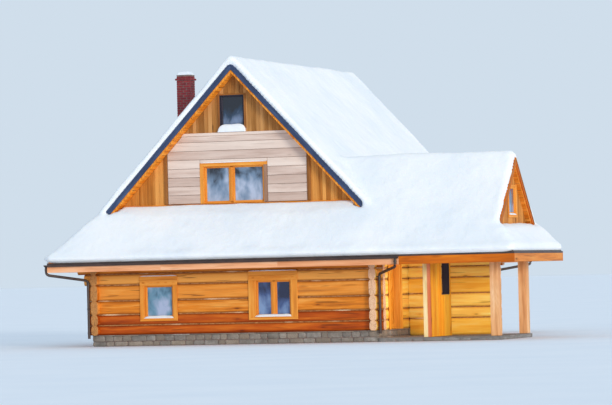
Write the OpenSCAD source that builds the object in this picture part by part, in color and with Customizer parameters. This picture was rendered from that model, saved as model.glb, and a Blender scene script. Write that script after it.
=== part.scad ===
// Alpine log chalet with a steep gabled roof on a hipped foot, a cross-gabled
// wing over an open porch, and a blanket of snow on every roof slope.
// Frame: +Z up, +X to the right of the front, +Y towards the rear.
// Origin: centre of the outline, on the ground. Millimetres, real size.

/* [Main block] */
// Width over the outer faces of the side walls
main_w = 9360; // [9300:10:9500]
// Depth over the outer faces of the front and rear walls
main_d = 12130; // [12000:10:12600]
// Thickness of the log walls
wall_t = 240; // [220:10:250]
// Depth of the grooves between the logs
groove = 22; // [10:1:26]
// Projection of the log ends past the corners
log_end = 180; // [150:10:190]

/* [Roof] */
// Slope of every roof plane in degrees
roof_pitch = 46.6; // [46:0.1:47]
// Height of the roof surface at the eave
eave_z = 2630; // [2600:10:2660]
// Overhang of the eaves past the log walls
eave_over = 1030; // [1000:10:1060]
// Upright thickness of the roof inside the walls
roof_t = 300; // [280:10:310]
// Upright thickness of the boarded overhang above the rafter tails
board_t = 160; // [140:10:170]
// Distance of the main verges behind the front and rear wall faces
verge_in = 250; // [230:10:270]
// Distance of the boarded gables behind the front and rear wall faces
gable_in = 600; // [580:10:620]

/* [Wing] */
// Reach of the wing's end eave from the middle of the main block
wing_x = 9290; // [9200:10:9400]
// Width of the wing roof over its eaves
wing_w = 5380; // [5300:20:5460]
// Distance of the wing's verge behind its end eave
wing_verge = 660; // [640:10:680]
// Distance of the wing's gable wall behind its end eave
wing_set = 790; // [780:10:800]

/* [Snow] */
// Upright depth of the snow on the roofs
snow_t = 250; // [150:10:280]

/* [Entrance] */
// Clear width of the doorway in the log wall
door_w = 1060; // [1000:10:1100]
// Height of the doorway above the floor
door_h = 2050; // [1980:10:2080]
// Distance of the doorway from the front wall face
door_y = 1180; // [1150:10:1250]

/* [Hidden] */
$fn = 32;

hw = main_w / 2;
t = tan(roof_pitch);
E = hw + eave_over;                 // main eaves at x = -E and x = E
F = -eave_over;                     // front eave
B = main_d + eave_over;             // rear eave
yf = verge_in;                      // front verge
yb = main_d - verge_in;             // rear verge
gf = gable_in;                      // front gable, outer face
gb = main_d - gable_in;             // rear gable, outer face
G = F + wing_w;                     // rear eave of the wing
wm = (F + G) / 2;                   // ridge line of the wing
wwall = G - eave_over;              // rear wall line of the wing
wgx = wing_x - wing_set;            // outer face of the wing gable
wvx = wing_x - wing_verge;          // verge of the wing
fas = 30;                           // fascia thickness
gut = 130;                          // gutter reach past the fascia
fit = 1;                            // gap where a piece meets a slope
ox = -(wing_x + fas - E - fas - gut) / 2;
oy = -(B + F) / 2;
ply = 350;                          // top of the stone plinth, foot of the logs
pf = 120;                           // top of the porch floor
up0 = 3000;                         // underside of the upper floor
up1 = 3200;                         // top of the upper floor
at0 = 5800;                         // underside of the attic floor
at1 = 5950;                         // top of the attic floor
wf0 = 2900;                         // underside of the floor over the porch
wf1 = 3100;                         // top of the floor over the porch
function ztop(d) = eave_z + d * t;  // roof surface, d inwards from the eave
plate = ztop(eave_over) - roof_t;   // top of the log walls
ridge = ztop(E);
wridge = ztop(wing_w / 2);

// heights of the joints between the logs
joints = [650, 980, 1410, 1900, 2240, 2640, 3040];
// how far each log of a wall across and along the ridge runs past its plain end,
// so that the upper logs step out and carry the eaves
bracket = [0, 0, 0, 0, 100, 320, 520, 700];
side_bracket = [0, 0, 0, 0, 0, 0, 220, 400];
no_bracket = [0, 0, 0, 0, 0, 0, 0, 0];
levels = concat([ply], joints, [plate]);
dx = door_y;                        // doorway, front edge
dy = door_y + door_w;               // doorway, rear edge
dtop = ply + door_h;                // doorway, top

// windows: middle, glass width, sill of the glass, head of the glass, casing width, mullions, mullion offset
front_list = [[-2455, 850, 910, 1810, 140, 0], [1310, 1060, 890, 1890, 210, 1]];
rear_list = [[-1310, 1060, 890, 1890, 210, 1], [2455, 850, 910, 1810, 140, 0]];
left_list = [[2600, 1060, 890, 1890, 210, 1], [6065, 850, 910, 1810, 140, 0], [9530, 1060, 890, 1890, 210, 1]];
right_list = [[6100, 1060, 890, 1890, 210, 1], [9530, 1060, 890, 1890, 210, 1]];
gable_list = [[-110, 1880, 4420, 5460, 110, 1, -90], [-120, 690, 6760, 7640, 60, 0]];
wing_list = [[wm, 640, 3820, 4560, 90, 0]];
sash = 60;                          // visible width of a sash bar

chx = -2790; chy = 3600; chw = 450; // chimney

// ---------- shared shapes ----------
module block(x0, x1, y0, y1, z0, z1) translate([x0, y0, z0]) cube([x1 - x0, y1 - y0, z1 - z0]);
// outline in x-z drawn from y0 to y1
module prof_xz(p, y0, y1) translate([0, y1, 0]) rotate([90, 0, 0]) linear_extrude(y1 - y0) polygon(p);
// outline in y-z drawn from x0 to x1
module prof_yz(p, x0, x1) translate([x0, 0, 0]) rotate([90, 0, 90]) linear_extrude(x1 - x0) polygon(p);
module plan(p, z0, z1) translate([0, 0, z0]) linear_extrude(z1 - z0) polygon(p);
module place() translate([ox, oy, 0]) children();
function rev(l) = [for (i = [len(l) - 1:-1:0]) l[i]];

// grooved face of a stack of logs, going up
function face(n, s, za, zb) = concat([[n, za]],
  [for (z = joints) if (z > za + 50 && z < zb - 50) each [[n, z - 28], [n + s * groove, z], [n, z + 28]]],
  [[n, zb]]);
function logs(n, za, zb) = concat(face(n, 1, za, zb), rev(face(n + wall_t, -1, za, zb)));
module logs_x(x0, x1, y, za, zb) prof_yz(logs(y, za, zb), x0, x1);
module logs_y(y0, y1, x, za, zb) prof_xz(logs(x, za, zb), y0, y1);

// space below the main roof
module under_main() intersection() {
  prof_xz([[-E, 0], [-E, eave_z - roof_t], [0, ridge - roof_t], [E, eave_z - roof_t], [E, 0]], F, B);
  prof_yz([[F, 0], [F, eave_z - roof_t], [(F + B) / 2, eave_z - roof_t + (B - F) / 2 * t], [B, eave_z - roof_t], [B, 0]], -E, E);
}
// crossing of two walls: half of each log is cut away there
module lapsx(xc, yc) for (i = [0:len(levels) - 2])
  let (m = (levels[i] + levels[i + 1]) / 2)
    block(xc - 0.5, xc + wall_t + 0.5, yc - 1, yc + wall_t + 1, m, i == len(levels) - 2 ? plate + 10 : levels[i + 1]);
module lapsy(xc, yc) for (i = [0:len(levels) - 2])
  let (m = (levels[i] + levels[i + 1]) / 2)
    block(xc - 1, xc + wall_t + 1, yc - 0.5, yc + wall_t + 0.5, i == 0 ? -10 : levels[i], m + 0.5);

// holes for the windows of a list, in a wall that runs along x or y
module holes_x(l, y0, y1) for (w = l)
  block(w[0] - w[1] / 2 - sash, w[0] + w[1] / 2 + sash, y0, y1, w[2] - sash, w[3] + sash);
module holes_y(l, x0, x1) for (w = l)
  block(x0, x1, w[0] - w[1] / 2 - sash, w[0] + w[1] / 2 + sash, w[2] - sash, w[3] + sash);
// window drawn at the origin: x across, z up, outer wall face at y = 0, into the wall along +y; s makes it shallower
module window(w, top, below = 90, s = 0) {
  a = w[1] / 2; b = a + sash; c = b + w[4];
  difference() {
    union() {
      block(-c, c, -35, 0, w[2] - sash - below, w[3] + sash + top);
      block(-b, b, -35, 120, w[2] - sash, w[3] + sash);
    }
    block(-b + 40, b - 40, -40, 60 - s, w[2] - sash + 40, w[3] + sash - 40);
    block(-a, a, -40, 130, w[2], w[3]);
  }
  m = is_undef(w[6]) ? 0 : w[6];
  if (w[5] > 0) block(m - 55, m + 55, 30, 115, w[2] - 15, w[3] + 15);
}
module pane(w, s = 0) {
  a = w[1] / 2;
  m = is_undef(w[6]) ? 0 : w[6];
  if (w[5] > 0) { block(-a, m - 55, 85, 97, w[2], w[3]); block(m + 55, a, 85, 97, w[2], w[3]); }
  else block(-a, a, 85 - s, 97 - s, w[2], w[3]);
}

// slab of a roof plane: section across the eave, d inwards, z up
function slab(d, o, s) = [[0, eave_z], [d, ztop(d)], [d, ztop(d) - roof_t],
  [o, ztop(o) - roof_t], [o, ztop(o) - board_t], [0, eave_z - board_t]];
function snow(d0, d) = [[d0, ztop(d0) + fit], [d0 + 60, ztop(d0) + snow_t], [d, ztop(d) + snow_t], [d, ztop(d) + fit]];
// the same, thinning out towards its upper end
function thin_snow(d0, d) = [[d0, ztop(d0) + fit], [d0 + 60, ztop(d0) + snow_t], [d * 0.6, ztop(d * 0.6) + snow_t], [d, ztop(d) + 60], [d, ztop(d) + fit]];
function flipx(l, x) = [for (p = l) [x - p[0], p[1]]];
function addx(l, x) = [for (p = l) [x + p[0], p[1]]];
// space under the verges of the main roof and of the wing roof, lowered by c
module main_inner(c, y0, y1) prof_xz([[-E, 0], [-E, eave_z - roof_t - c], [0, ridge - roof_t - c], [E, eave_z - roof_t - c], [E, 0]], y0, y1);
module wing_inner(c, x0, x1) prof_yz([[F, 0], [F, eave_z - roof_t - c], [wm, wridge - roof_t - c], [G, eave_z - roof_t - c], [G, 0]], x0, x1);

// ---------- ground ----------
module stone_plinth() color("darkgray") place() difference() {
  block(-hw - 20, hw + 20, -20, main_d + 20, 0, ply);
  block(-hw + 400, hw - 400, 400, main_d - 400, -10, ply + 10);
}
module porch_floor() color("gray") place()
  block(hw + 20, wgx + 60, -80, wwall + 80, 0, pf);
module ground_floor() color("burlywood") place()
  block(-hw + 400, hw - 400, 400, main_d - 400, ply - 150, ply);

// ---------- log walls ----------
// cuts each log of a wall along x back to its own length, s = -1 left, 1 right
module ends_x(y, s, ext) for (i = [0:len(levels) - 2]) let (e = hw + log_end + ext[i])
  block(s < 0 ? -7000 : e, s < 0 ? -e : 7000, y - 10, y + wall_t + 10,
    i == 0 ? -10 : levels[i], i == len(levels) - 2 ? 5000 : levels[i + 1]);
// the same for a wall along y, s = -1 front, 1 rear
module ends_y(x, s, ext) for (i = [0:len(levels) - 2]) let (e = log_end + ext[i])
  block(x - 10, x + wall_t + 10, s < 0 ? -2000 : main_d + e, s < 0 ? -e : main_d + 2000,
    i == 0 ? -10 : levels[i], i == len(levels) - 2 ? 5000 : levels[i + 1]);
module front_wall() color("peru") place() difference() {
  intersection() {
    logs_x(-hw - 900, hw + log_end, 0, ply, plate);
    under_main();
  }
  ends_x(0, -1, bracket);
  block(hw - 5, hw + log_end + 10, -10, wall_t + 10, 2640, 4000);
  lapsx(-hw, 0); lapsx(hw - wall_t, 0);
  holes_x(front_list, -50, wall_t + 50);
}
module rear_wall() color("peru") place() difference() {
  intersection() {
    logs_x(-hw - 900, hw + 900, main_d - wall_t, ply, plate);
    under_main();
  }
  ends_x(main_d - wall_t, -1, bracket);
  ends_x(main_d - wall_t, 1, bracket);
  lapsx(-hw, main_d - wall_t); lapsx(hw - wall_t, main_d - wall_t);
  holes_x(rear_list, main_d - wall_t - 50, main_d + 50);
}
// side wall with its log ends, before its openings are cut
module side_wall(x, y0, y1) difference() {
  intersection() {
    logs_y(y0, y1, x, ply, plate);
    under_main();
  }
  if (y0 < 0) { ends_y(x, -1, side_bracket); lapsy(x, 0); }
  if (y1 > main_d) { ends_y(x, 1, side_bracket); lapsy(x, main_d - wall_t); }
}
module left_wall() color("peru") place() difference() {
  side_wall(-hw, -700, main_d + 700);
  holes_y(left_list, -hw - 50, -hw + wall_t + 50);
}
module right_wall_front() color("peru") place()
  side_wall(hw - wall_t, -700, dx);
module right_wall_over_door() color("peru") place()
  logs_y(dx, dy, hw - wall_t, dtop, plate);
module right_wall_rear() color("peru") place() difference() {
  side_wall(hw - wall_t, dy, main_d + 700);
  holes_y(right_list, hw - wall_t - 50, hw + 50);
}
module porch_back_wall() color("peru") place() difference() {
  logs_x(hw, wgx - 880, wwall - wall_t, pf, 2640);
  block(hw - 1, hw + 20, wwall - wall_t - 1, wwall + 1, pf - 1, ply);
}
module porch_screen_wall() color("orange") place() difference() {
  logs_y(0, 2080, 6120, pf, 2640);
  block(6100, 6380, 1120, 1960, 1380, 2500);
}
module porch_posts() color("sandybrown") place() {
  block(wgx - 270, wgx, -15, 255, pf, 2640);
  block(wgx - 270, wgx, wwall - 255, wwall + 15, pf, 2640);
}
module porch_beams() color("darkorange") place() {
  block(hw, wgx - 240, 0, wall_t, 2640, plate);
  block(hw, wgx - 240, wwall - wall_t, wwall, 2640, plate);
  block(wgx - 240, wgx, 0, wwall, 2640, wf1);
}

// ---------- floors ----------
module upper_floor() color("burlywood") place() difference() {
  block(-hw + wall_t, hw - wall_t, wall_t, main_d - wall_t, up0, up1);
  block(chx - chw / 2, chx + chw / 2, chy - chw / 2, chy + chw / 2, up0 - 10, up1 + 10);
}
module attic_floor() color("burlywood") place() {
  a = E - (at1 + roof_t - eave_z) / t;
  block(-a, a, gf + 200, gb - 200, at0, at1);
}
module wing_floor() color("burlywood") place()
  block(hw, wgx - 240, wall_t, wwall - wall_t, wf0, wf1);

// ---------- boarded gables ----------
function gable_outline() = [[-hw + wall_t, up1], [hw - wall_t, up1],
  [hw - wall_t, ztop(eave_over + wall_t) - roof_t - fit], [0, ridge - roof_t - fit],
  [-hw + wall_t, ztop(eave_over + wall_t) - roof_t - fit]];
module front_gable() color("chocolate") place() difference() {
  prof_xz(gable_outline(), gf, gf + 200);
  holes_x(gable_list, gf - 50, gf + 250);
}
module rear_gable() color("chocolate") place() difference() {
  prof_xz(gable_outline(), gb - 200, gb);
  holes_x(gable_list, gb - 250, gb + 50);
}
module wing_gable() color("chocolate") place() difference() {
  prof_yz([[wall_t, wf1], [wwall - wall_t, wf1], [wwall - wall_t, ztop(eave_over + wall_t) - roof_t - fit],
    [wm, wridge - roof_t - fit], [wall_t, ztop(eave_over + wall_t) - roof_t - fit]], wgx - 200, wgx);
  holes_y(wing_list, wgx - 250, wgx + 50);
}
// pale boarded panels between the gable posts
panel_x = 2300;
panel_z = 6460;
module panel(y0, y1) difference() {
  intersection() {
    block(-panel_x, panel_x, y0, y1, ztop(eave_over + gable_in) + 10, panel_z);
    main_inner(fit, y0 - 50, y1 + 50);
  }
  for (w = [gable_list[0]]) block(w[0] - w[1] / 2 - sash - w[4], w[0] + w[1] / 2 + sash + w[4], y0 - 50, y1 + 50, w[2] - 500, w[3] + sash + 110);
}
module gable_panels() color("mistyrose") place() { panel(gf - 20, gf); panel(gb, gb + 20); }
module posts(y0, y1) intersection() {
  union() {
    for (s = [-1, 1]) block(s < 0 ? -panel_x - 110 : panel_x, s < 0 ? -panel_x : panel_x + 110, y0, y1, ztop(eave_over + gable_in) + 10, 7000);
    block(-panel_x, panel_x, y0, y1, panel_z, panel_z + 90);
  }
  main_inner(fit, y0 - 50, y1 + 50);
}
module gable_posts() color("saddlebrown") place() { posts(gf - 45, gf); posts(gb, gb + 45); }

// ---------- roofs ----------
module chimney_hole() block(chx - chw / 2, chx + chw / 2, chy - chw / 2, chy + chw / 2, up1, ridge + 500);
module roof_left() color("slategray") place() difference() {
  intersection() {
    prof_xz(addx(slab(E, eave_over, 0), -E), F, B);
    plan([[-E, F], [-E + yf - F, yf], [0, yf], [0, yb], [-E + yf - F, yb], [-E, B]], 0, 12000);
  }
  chimney_hole();
}
module roof_right() color("slategray") place() intersection() {
  prof_xz(flipx(slab(E, eave_over, 0), E), F, B);
  plan([[E - yf + F, yf], [0, yf], [0, yb], [E - yf + F, yb], [E, B], [E, G], [E - wm + F, wm]], 0, 12000);
}
module front_pent_roof() color("slategray") place() {
  intersection() {
    prof_yz(addx(slab(yf - F, eave_over, 0), F), -E, E);
    plan([[-E, F], [E - yf + F, F], [E - yf + F, yf], [-E + yf - F, yf]], 0, 12000);
  }
  intersection() {
    prof_yz(addx(slab(gf - F, eave_over, 0), F), -E, E);
    block(-E, E, yf - 1, gf, 0, 12000);
    main_inner(fit, yf - 10, gf);
  }
}
module rear_pent_roof() color("slategray") place() {
  intersection() {
    prof_yz(flipx(slab(yf - F, eave_over, 0), B), -E, E);
    plan([[-E, B], [E, B], [E - yf + F, yb], [-E + yf - F, yb]], 0, 12000);
  }
  intersection() {
    prof_yz(flipx(slab(gf - F, eave_over, 0), B), -E, E);
    block(-E, E, gb, yb + 1, 0, 12000);
    main_inner(fit, gb, yb + 10);
  }
}
vx = E - wm + F;                    // where the wing's ridge meets the main slope
module wing_roof_front() color("slategray") place() intersection() {
  prof_yz(addx(slab(wing_w / 2, eave_over, 0), F), 0, wing_x);
  plan([[E - yf + F, F], [wing_x, F], [wvx, F + wing_verge], [wvx, wm], [vx, wm], [E - yf + F, yf]], 0, 12000);
}
module wing_roof_rear() color("slategray") place() intersection() {
  prof_yz(flipx(slab(wing_w / 2, eave_over, 0), G), 0, wing_x);
  plan([[vx, wm], [wvx, wm], [wvx, G - wing_verge], [wing_x, G], [E, G]], 0, 12000);
}
module wing_end_roof() color("slategray") place() {
  intersection() {
    prof_xz(flipx(slab(wing_verge, wing_verge - 1, 0), wing_x), F, G);
    plan([[wing_x, F], [wing_x, G], [wvx, G - wing_verge], [wvx, F + wing_verge]], 0, 12000);
  }
  intersection() {
    prof_xz(flipx(slab(wing_set, wing_verge - 1, 0), wing_x), F, G);
    block(wgx, wvx + 1, F, G, 0, 12000);
    wing_inner(fit, wgx, wvx + 10);
  }
}
// tails of the rafters under the boarded overhangs
function tail(l) = let (o = l - fit) [[40, ztop(40) - roof_t], [40, ztop(40) - board_t - fit], [o, ztop(o) - board_t - fit], [o, ztop(o) - roof_t]];
module rafter_tails() color("peru") place() {
  for (x = [-4000:800:7200]) prof_yz(addx(tail(eave_over), F), x - 45, x + 45);
  for (x = [-4000:800:4000]) prof_yz(flipx(tail(eave_over), B), x - 45, x + 45);
  for (y = [500:800:11700]) prof_xz(addx(tail(eave_over), -E), y - 45, y + 45);
  for (y = [5300:800:11700]) prof_xz(flipx(tail(eave_over), E), y - 45, y + 45);
  for (x = [6000:800:7600]) prof_yz(flipx(tail(eave_over), G), x - 45, x + 45);
  for (y = [60:800:3300]) prof_xz(flipx(tail(wing_verge - 1), wing_x), y - 45, y + 45);
}
// barge boards on the three gables; their feet end on the lower roofs
function chevron(a, b, z0, z) = [[-a, z0], [0, z - 200], [a, z0], [b - 25, z0], [b - 25, z0 + 25 * t],
  [0, z + 25], [25 - b, z0 + 25 * t], [25 - b, z0]];
function barge(z0) = let (a = E - (z0 + 200 - eave_z) / t, b = E - (z0 - 25 - eave_z) / t) chevron(a, b, z0, ridge);
module barge_boards() color("midnightblue") place() {
  zf = ztop(yf - F) + 15;
  prof_xz(barge(zf), yf - 45, yf);
  prof_xz(barge(zf), yb, yb + 45);
  zw = ztop(wing_verge) + 15;
  a = wing_w / 2 - (zw + 200 - eave_z) / t; b = wing_w / 2 - (zw - 25 - eave_z) / t;
  prof_yz(addx(chevron(a, b, zw, wridge), wm), wvx, wvx + 45);
}
module fascia_boards() color("sienna") place() {
  z0 = eave_z - roof_t; z1 = eave_z;
  block(-E - fas, wing_x + fas, F - fas, F, z0, z1);
  block(-E - fas, -E, F, B, z0, z1);
  block(-E - fas, E + fas, B, B + fas, z0, z1);
  block(E, E + fas, G, B, z0, z1);
  block(E + fas, wing_x + fas, G, G + fas, z0, z1);
  block(wing_x, wing_x + fas, F, G, z0, z1);
}
// half-round gutter drawn along y from y0 to y1, middle at x = 0, z = 0
module trough(l) rotate([-90, 0, 0]) linear_extrude(l) difference() {
  circle(r = 65); circle(r = 58); translate([-80, -90]) square([160, 90]);
}
gz = eave_z - 60;
module gutters() color("dimgray") place() {
  translate([-E - fas - 65, F, gz]) trough(B - F);
  translate([E + fas + 65, G + 250, gz]) trough(B - G - 250);
  translate([-E, F - fas - 65, gz]) rotate([0, 0, -90]) trough(2 * E);
  translate([-E, B + fas + 65, gz]) rotate([0, 0, -90]) trough(2 * E);
}
// pipe from a to b
module pipe(a, b, r) let (d = b - a, l = norm(d), u = acos(d[2] / l), v = atan2(d[1], d[0]))
  translate(a) rotate([0, u, v]) cylinder(r = r, h = l);
module elbow(a, r) translate(a) sphere(r = r);
// outlet at x, y under the gutter, then below the fascia to the wall at u, v, and down
module downpipe(x, y, u, v) {
  pipe([x, y, 2262], [x, y, gz - 66], 45); elbow([x, y, 2262], 56);
  pipe([x, y, 2262], [u, v, 2060], 45); elbow([u, v, 2060], 56);
  pipe([u, v, 2060], [u, v, 250], 45);
}
// from each corner of the gutters to the corner of the log walls, and down
module downpipes() color("dimgray") place()
  for (sx = [-1, 1], sy = [-1, 1]) let (y0 = sy < 0 ? F + 60 : B - 60, y1 = sy < 0 ? -95 : main_d + 95)
    if (sx > 0 && sy < 0) downpipe(E - 90, F - fas - 65, hw + 95, y1);
    else downpipe(sx * (E + fas + 65), y0, sx * (hw + 95), y1);

// ---------- chimney ----------
module chimney() color("brown") place() {
  block(chx - chw / 2, chx + chw / 2, chy - chw / 2, chy + chw / 2, ply, 8380);
  block(chx - chw / 2 - 40, chx + chw / 2 + 40, chy - chw / 2 - 40, chy + chw / 2 + 40, 8380, 8440);
  block(chx - chw / 2, chx + chw / 2, chy - chw / 2, chy + chw / 2, 8440, 8560);
}

// ---------- windows ----------
module front_windows() color("orange") place()
  for (w = front_list) translate([w[0], 0, 0]) window(w, 280);
module rear_windows() color("orange") place()
  for (w = rear_list) translate([w[0], main_d, 0]) rotate([0, 0, 180]) window(w, 280);
module left_windows() color("orange") place()
  for (w = left_list) translate([-hw, w[0], 0]) rotate([0, 0, -90]) window(w, 280);
module right_windows() color("orange") place()
  for (w = right_list) translate([hw, w[0], 0]) rotate([0, 0, 90]) window(w, 280);
module gable_windows() color("orange") place() {
  for (i = [0, 1]) let (w = gable_list[i], top = [100, 40][i], below = [0, 90][i]) {
    translate([w[0], gf, 0]) window(w, top, below);
    translate([w[0], gb, 0]) rotate([0, 0, 180]) window(w, top, below);
  }
  for (w = wing_list) translate([wgx, w[0], 0]) rotate([0, 0, 90]) window(w, 50, 90, 45);
}
module ground_floor_glass() color("lightblue") place() {
  for (w = front_list) translate([w[0], 0, 0]) pane(w);
  for (w = rear_list) translate([w[0], main_d, 0]) rotate([0, 0, 180]) pane(w);
  for (w = left_list) translate([-hw, w[0], 0]) rotate([0, 0, -90]) pane(w);
  for (w = right_list) translate([hw, w[0], 0]) rotate([0, 0, 90]) pane(w);
}
module upper_glass() color("steelblue") place() {
  for (w = gable_list) {
    translate([w[0], gf, 0]) pane(w);
    translate([w[0], gb, 0]) rotate([0, 0, 180]) pane(w);
  }
  for (w = wing_list) translate([wgx, w[0], 0]) rotate([0, 0, 90]) pane(w, 45);
}

// ---------- entrance ----------
module door_frame() color("orange") place() difference() {
  union() {
    block(hw - wall_t, hw + 30, dx, dy, ply, dtop);
    block(hw, hw + 30, dx - 130, dy + 130, ply, dtop + 160);
  }
  block(hw - wall_t - 10, hw + 40, dx + 60, dy - 60, ply - 10, dtop - 60);
}
module entrance_door() color("peru") place()
  block(hw - wall_t, hw - wall_t + 60, dx + 65, dy - 65, ply + 7, dtop - 65);
module door_fittings() color("dimgray") place() for (s = [-1, 1]) {
  xf = s < 0 ? hw - wall_t : hw - wall_t + 60;
  block(s < 0 ? xf - 8 : xf, s < 0 ? xf : xf + 8, dx + 110, dx + 160, ply + 900, ply + 1120);
  translate([xf, dx + 135, ply + 1050]) rotate([0, s * 90, 0]) cylinder(r = 10, h = 52);
  block(s < 0 ? xf - 60 : xf + 42, s < 0 ? xf - 42 : xf + 60, dx + 125, dx + 250, ply + 1041, ply + 1059);
  // strap hinges on the inner face, with their knuckles on the hinge line
  if (s < 0) for (z = [ply + 250, ply + 1620]) {
    translate([xf - 6, dy - 62, z - 45]) cylinder(r = 5, h = 90);
    block(xf - 8, xf, dy - 420, dy - 64, z - 25, z + 25);
  }
}

// ---------- snow ----------
module chimney_gap() block(chx - chw / 2 - 60, chx + chw / 2 + 60, chy - chw / 2 - 60, chy + chw / 2 + 60, up1, ridge + 500);
module snow_left_slope() color("white") place() difference() {
  intersection() {
    prof_xz(addx(snow(30, E), -E), F, B);
    plan([[-E + 20, F + 20], [-E + yf - F + 30, yf + 60], [0, yf + 60], [0, yb - 60],
      [-E + yf - F + 30, yb - 60], [-E + 20, B - 20]], 0, 12000);
  }
  chimney_gap();
}
module snow_right_slope() color("white") place() intersection() {
  prof_xz(flipx(snow(30, E), E), F, B);
  plan([[0, yf + 60], [E - yf + F - 60, yf + 60], [vx, wm], [E, G], [E - 20, B - 20],
    [E - yf + F - 30, yb - 60], [0, yb - 60]], 0, 12000);
}
module snow_front_slope() color("white") place() {
  intersection() {
    prof_yz(addx(thin_snow(30, gf - F), F), -E, E);
    union() {
      plan([[-E, F], [E - yf + F, F], [E - yf + F, yf - 50], [-E + yf - F - 50, yf - 50]], 0, 12000);
      intersection() {
        block(-E, E, yf - 60, gf - 50, 0, 12000);
        main_inner(20, yf - 70, gf);
      }
    }
  }
  intersection() {
    prof_yz(addx(snow(30, wing_w / 2), F), 0, wing_x);
    plan([[E - yf + F, F], [wing_x, F], [wvx - 40, F + wing_verge + 40], [wvx - 40, wm], [vx, wm], [E - yf + F, yf]], 0, 12000);
  }
}
module snow_rear_slope() color("white") place() intersection() {
  prof_yz(flipx(thin_snow(30, gf - F), B), -E, E);
  union() {
    plan([[-E, B], [E, B], [E - yf + F + 50, yb + 50], [-E + yf - F - 50, yb + 50]], 0, 12000);
    intersection() {
      block(-E, E, gb + 50, yb + 60, 0, 12000);
      main_inner(20, gb, yb + 70);
    }
  }
}
module snow_wing() color("white") place() {
  intersection() {
    prof_yz(flipx(snow(30, wing_w / 2), G), 0, wing_x);
    plan([[vx, wm], [wvx - 40, wm], [wvx - 40, G - wing_verge - 40], [wing_x, G], [E, G]], 0, 12000);
  }
  intersection() {
    prof_xz(flipx(thin_snow(30, wing_set), wing_x), F, G);
    union() {
      plan([[wing_x - 5, F + 5], [wing_x - 5, G - 5], [wvx + 50, G - wing_verge + 50], [wvx + 50, F + wing_verge - 50]], 0, 12000);
      intersection() {
        block(wgx + 50, wvx + 60, F, G, 0, 12000);
        wing_inner(20, wgx, wvx + 70);
      }
    }
  }
}

stone_plinth();
porch_floor();
ground_floor();
front_wall();
rear_wall();
left_wall();
right_wall_front();
right_wall_over_door();
right_wall_rear();
porch_back_wall();
porch_screen_wall();
porch_posts();
porch_beams();
upper_floor();
attic_floor();
wing_floor();
front_gable();
rear_gable();
wing_gable();
gable_panels();
gable_posts();
roof_left();
roof_right();
front_pent_roof();
rear_pent_roof();
wing_roof_front();
wing_roof_rear();
wing_end_roof();
rafter_tails();
barge_boards();
fascia_boards();
gutters();
downpipes();
chimney();
front_windows();
left_windows();
rear_windows();
right_windows();
gable_windows();
ground_floor_glass();
upper_glass();
door_frame();
entrance_door();
door_fittings();
snow_left_slope();
snow_right_slope();
snow_front_slope();
snow_rear_slope();
snow_wing();
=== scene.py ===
import math
import random

import bmesh
import bpy
import numpy as np
from mathutils import Matrix, Vector, noise


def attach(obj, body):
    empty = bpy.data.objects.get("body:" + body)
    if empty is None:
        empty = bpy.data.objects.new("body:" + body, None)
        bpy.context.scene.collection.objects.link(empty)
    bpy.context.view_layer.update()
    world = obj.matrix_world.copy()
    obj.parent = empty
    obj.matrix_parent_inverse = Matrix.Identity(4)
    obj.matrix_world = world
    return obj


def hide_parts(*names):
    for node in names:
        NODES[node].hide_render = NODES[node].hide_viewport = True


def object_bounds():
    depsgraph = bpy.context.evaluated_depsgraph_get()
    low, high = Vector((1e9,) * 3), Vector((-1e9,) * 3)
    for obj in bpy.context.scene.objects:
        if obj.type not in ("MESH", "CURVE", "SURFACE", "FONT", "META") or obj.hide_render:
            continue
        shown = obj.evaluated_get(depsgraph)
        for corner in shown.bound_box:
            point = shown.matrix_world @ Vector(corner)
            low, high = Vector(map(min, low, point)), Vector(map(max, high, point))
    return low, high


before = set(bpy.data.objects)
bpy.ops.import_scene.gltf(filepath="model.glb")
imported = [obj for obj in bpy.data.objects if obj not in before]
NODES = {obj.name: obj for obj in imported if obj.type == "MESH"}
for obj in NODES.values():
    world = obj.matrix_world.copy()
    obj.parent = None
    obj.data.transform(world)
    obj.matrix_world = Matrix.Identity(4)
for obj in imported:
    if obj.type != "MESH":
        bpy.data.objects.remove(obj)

cad_lo, cad_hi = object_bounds()
scene = bpy.context.scene

# ---------------------------------------------------------------- frame of the house
# Lengths below are in metres in the house's own frame: origin at the middle of the
# front log wall's outer face, x to the right, y to the rear, z up.
OX, OY = -1.725, -6.065
HW = 4.68
D = 12.13
PITCH = math.radians(46.6)
T = math.tan(PITCH)
E = 5.71
F = -1.03
B = 13.16
EAVE = 2.63
ROOF_T = 0.30
YF, YB = 0.25, 11.88
GF, GB = 0.60, 11.53
G = 4.35
WM = 1.66
WX = 9.29
WVX = 8.63
WGX = 8.50
WWALL = 3.32
PLATE = 3.419
PLY = 0.35
PF = 0.12
RIDGE = EAVE + E * T
WRIDGE = EAVE + 2.69 * T
LEVELS = [0.35, 0.65, 0.98, 1.41, 1.90, 2.24, 2.64, 3.04, PLATE]
BRACKET = [0, 0, 0, 0, 0.10, 0.32, 0.52, 0.70]
SIDE_BRACKET = [0, 0, 0, 0, 0, 0, 0.22, 0.40]
LOG_END = 0.18
WALL_T = 0.24
SASH = 0.06
DX, DY, DTOP = 1.18, 2.24, 2.40
FRONT_W = [(-2.455, .85, .91, 1.81, .14, 0, 0), (1.31, 1.06, .89, 1.89, .21, 1, 0)]
REAR_W = [(-1.31, 1.06, .89, 1.89, .21, 1, 0), (2.455, .85, .91, 1.81, .14, 0, 0)]
LEFT_W = [(2.6, 1.06, .89, 1.89, .21, 1, 0), (6.065, .85, .91, 1.81, .14, 0, 0), (9.53, 1.06, .89, 1.89, .21, 1, 0)]
RIGHT_W = [(6.1, 1.06, .89, 1.89, .21, 1, 0), (9.53, 1.06, .89, 1.89, .21, 1, 0)]
GABLE_W = [(-.11, 1.88, 4.42, 5.46, .11, 1, -.09), (-.12, .69, 6.76, 7.64, .06, 0, 0)]
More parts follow.
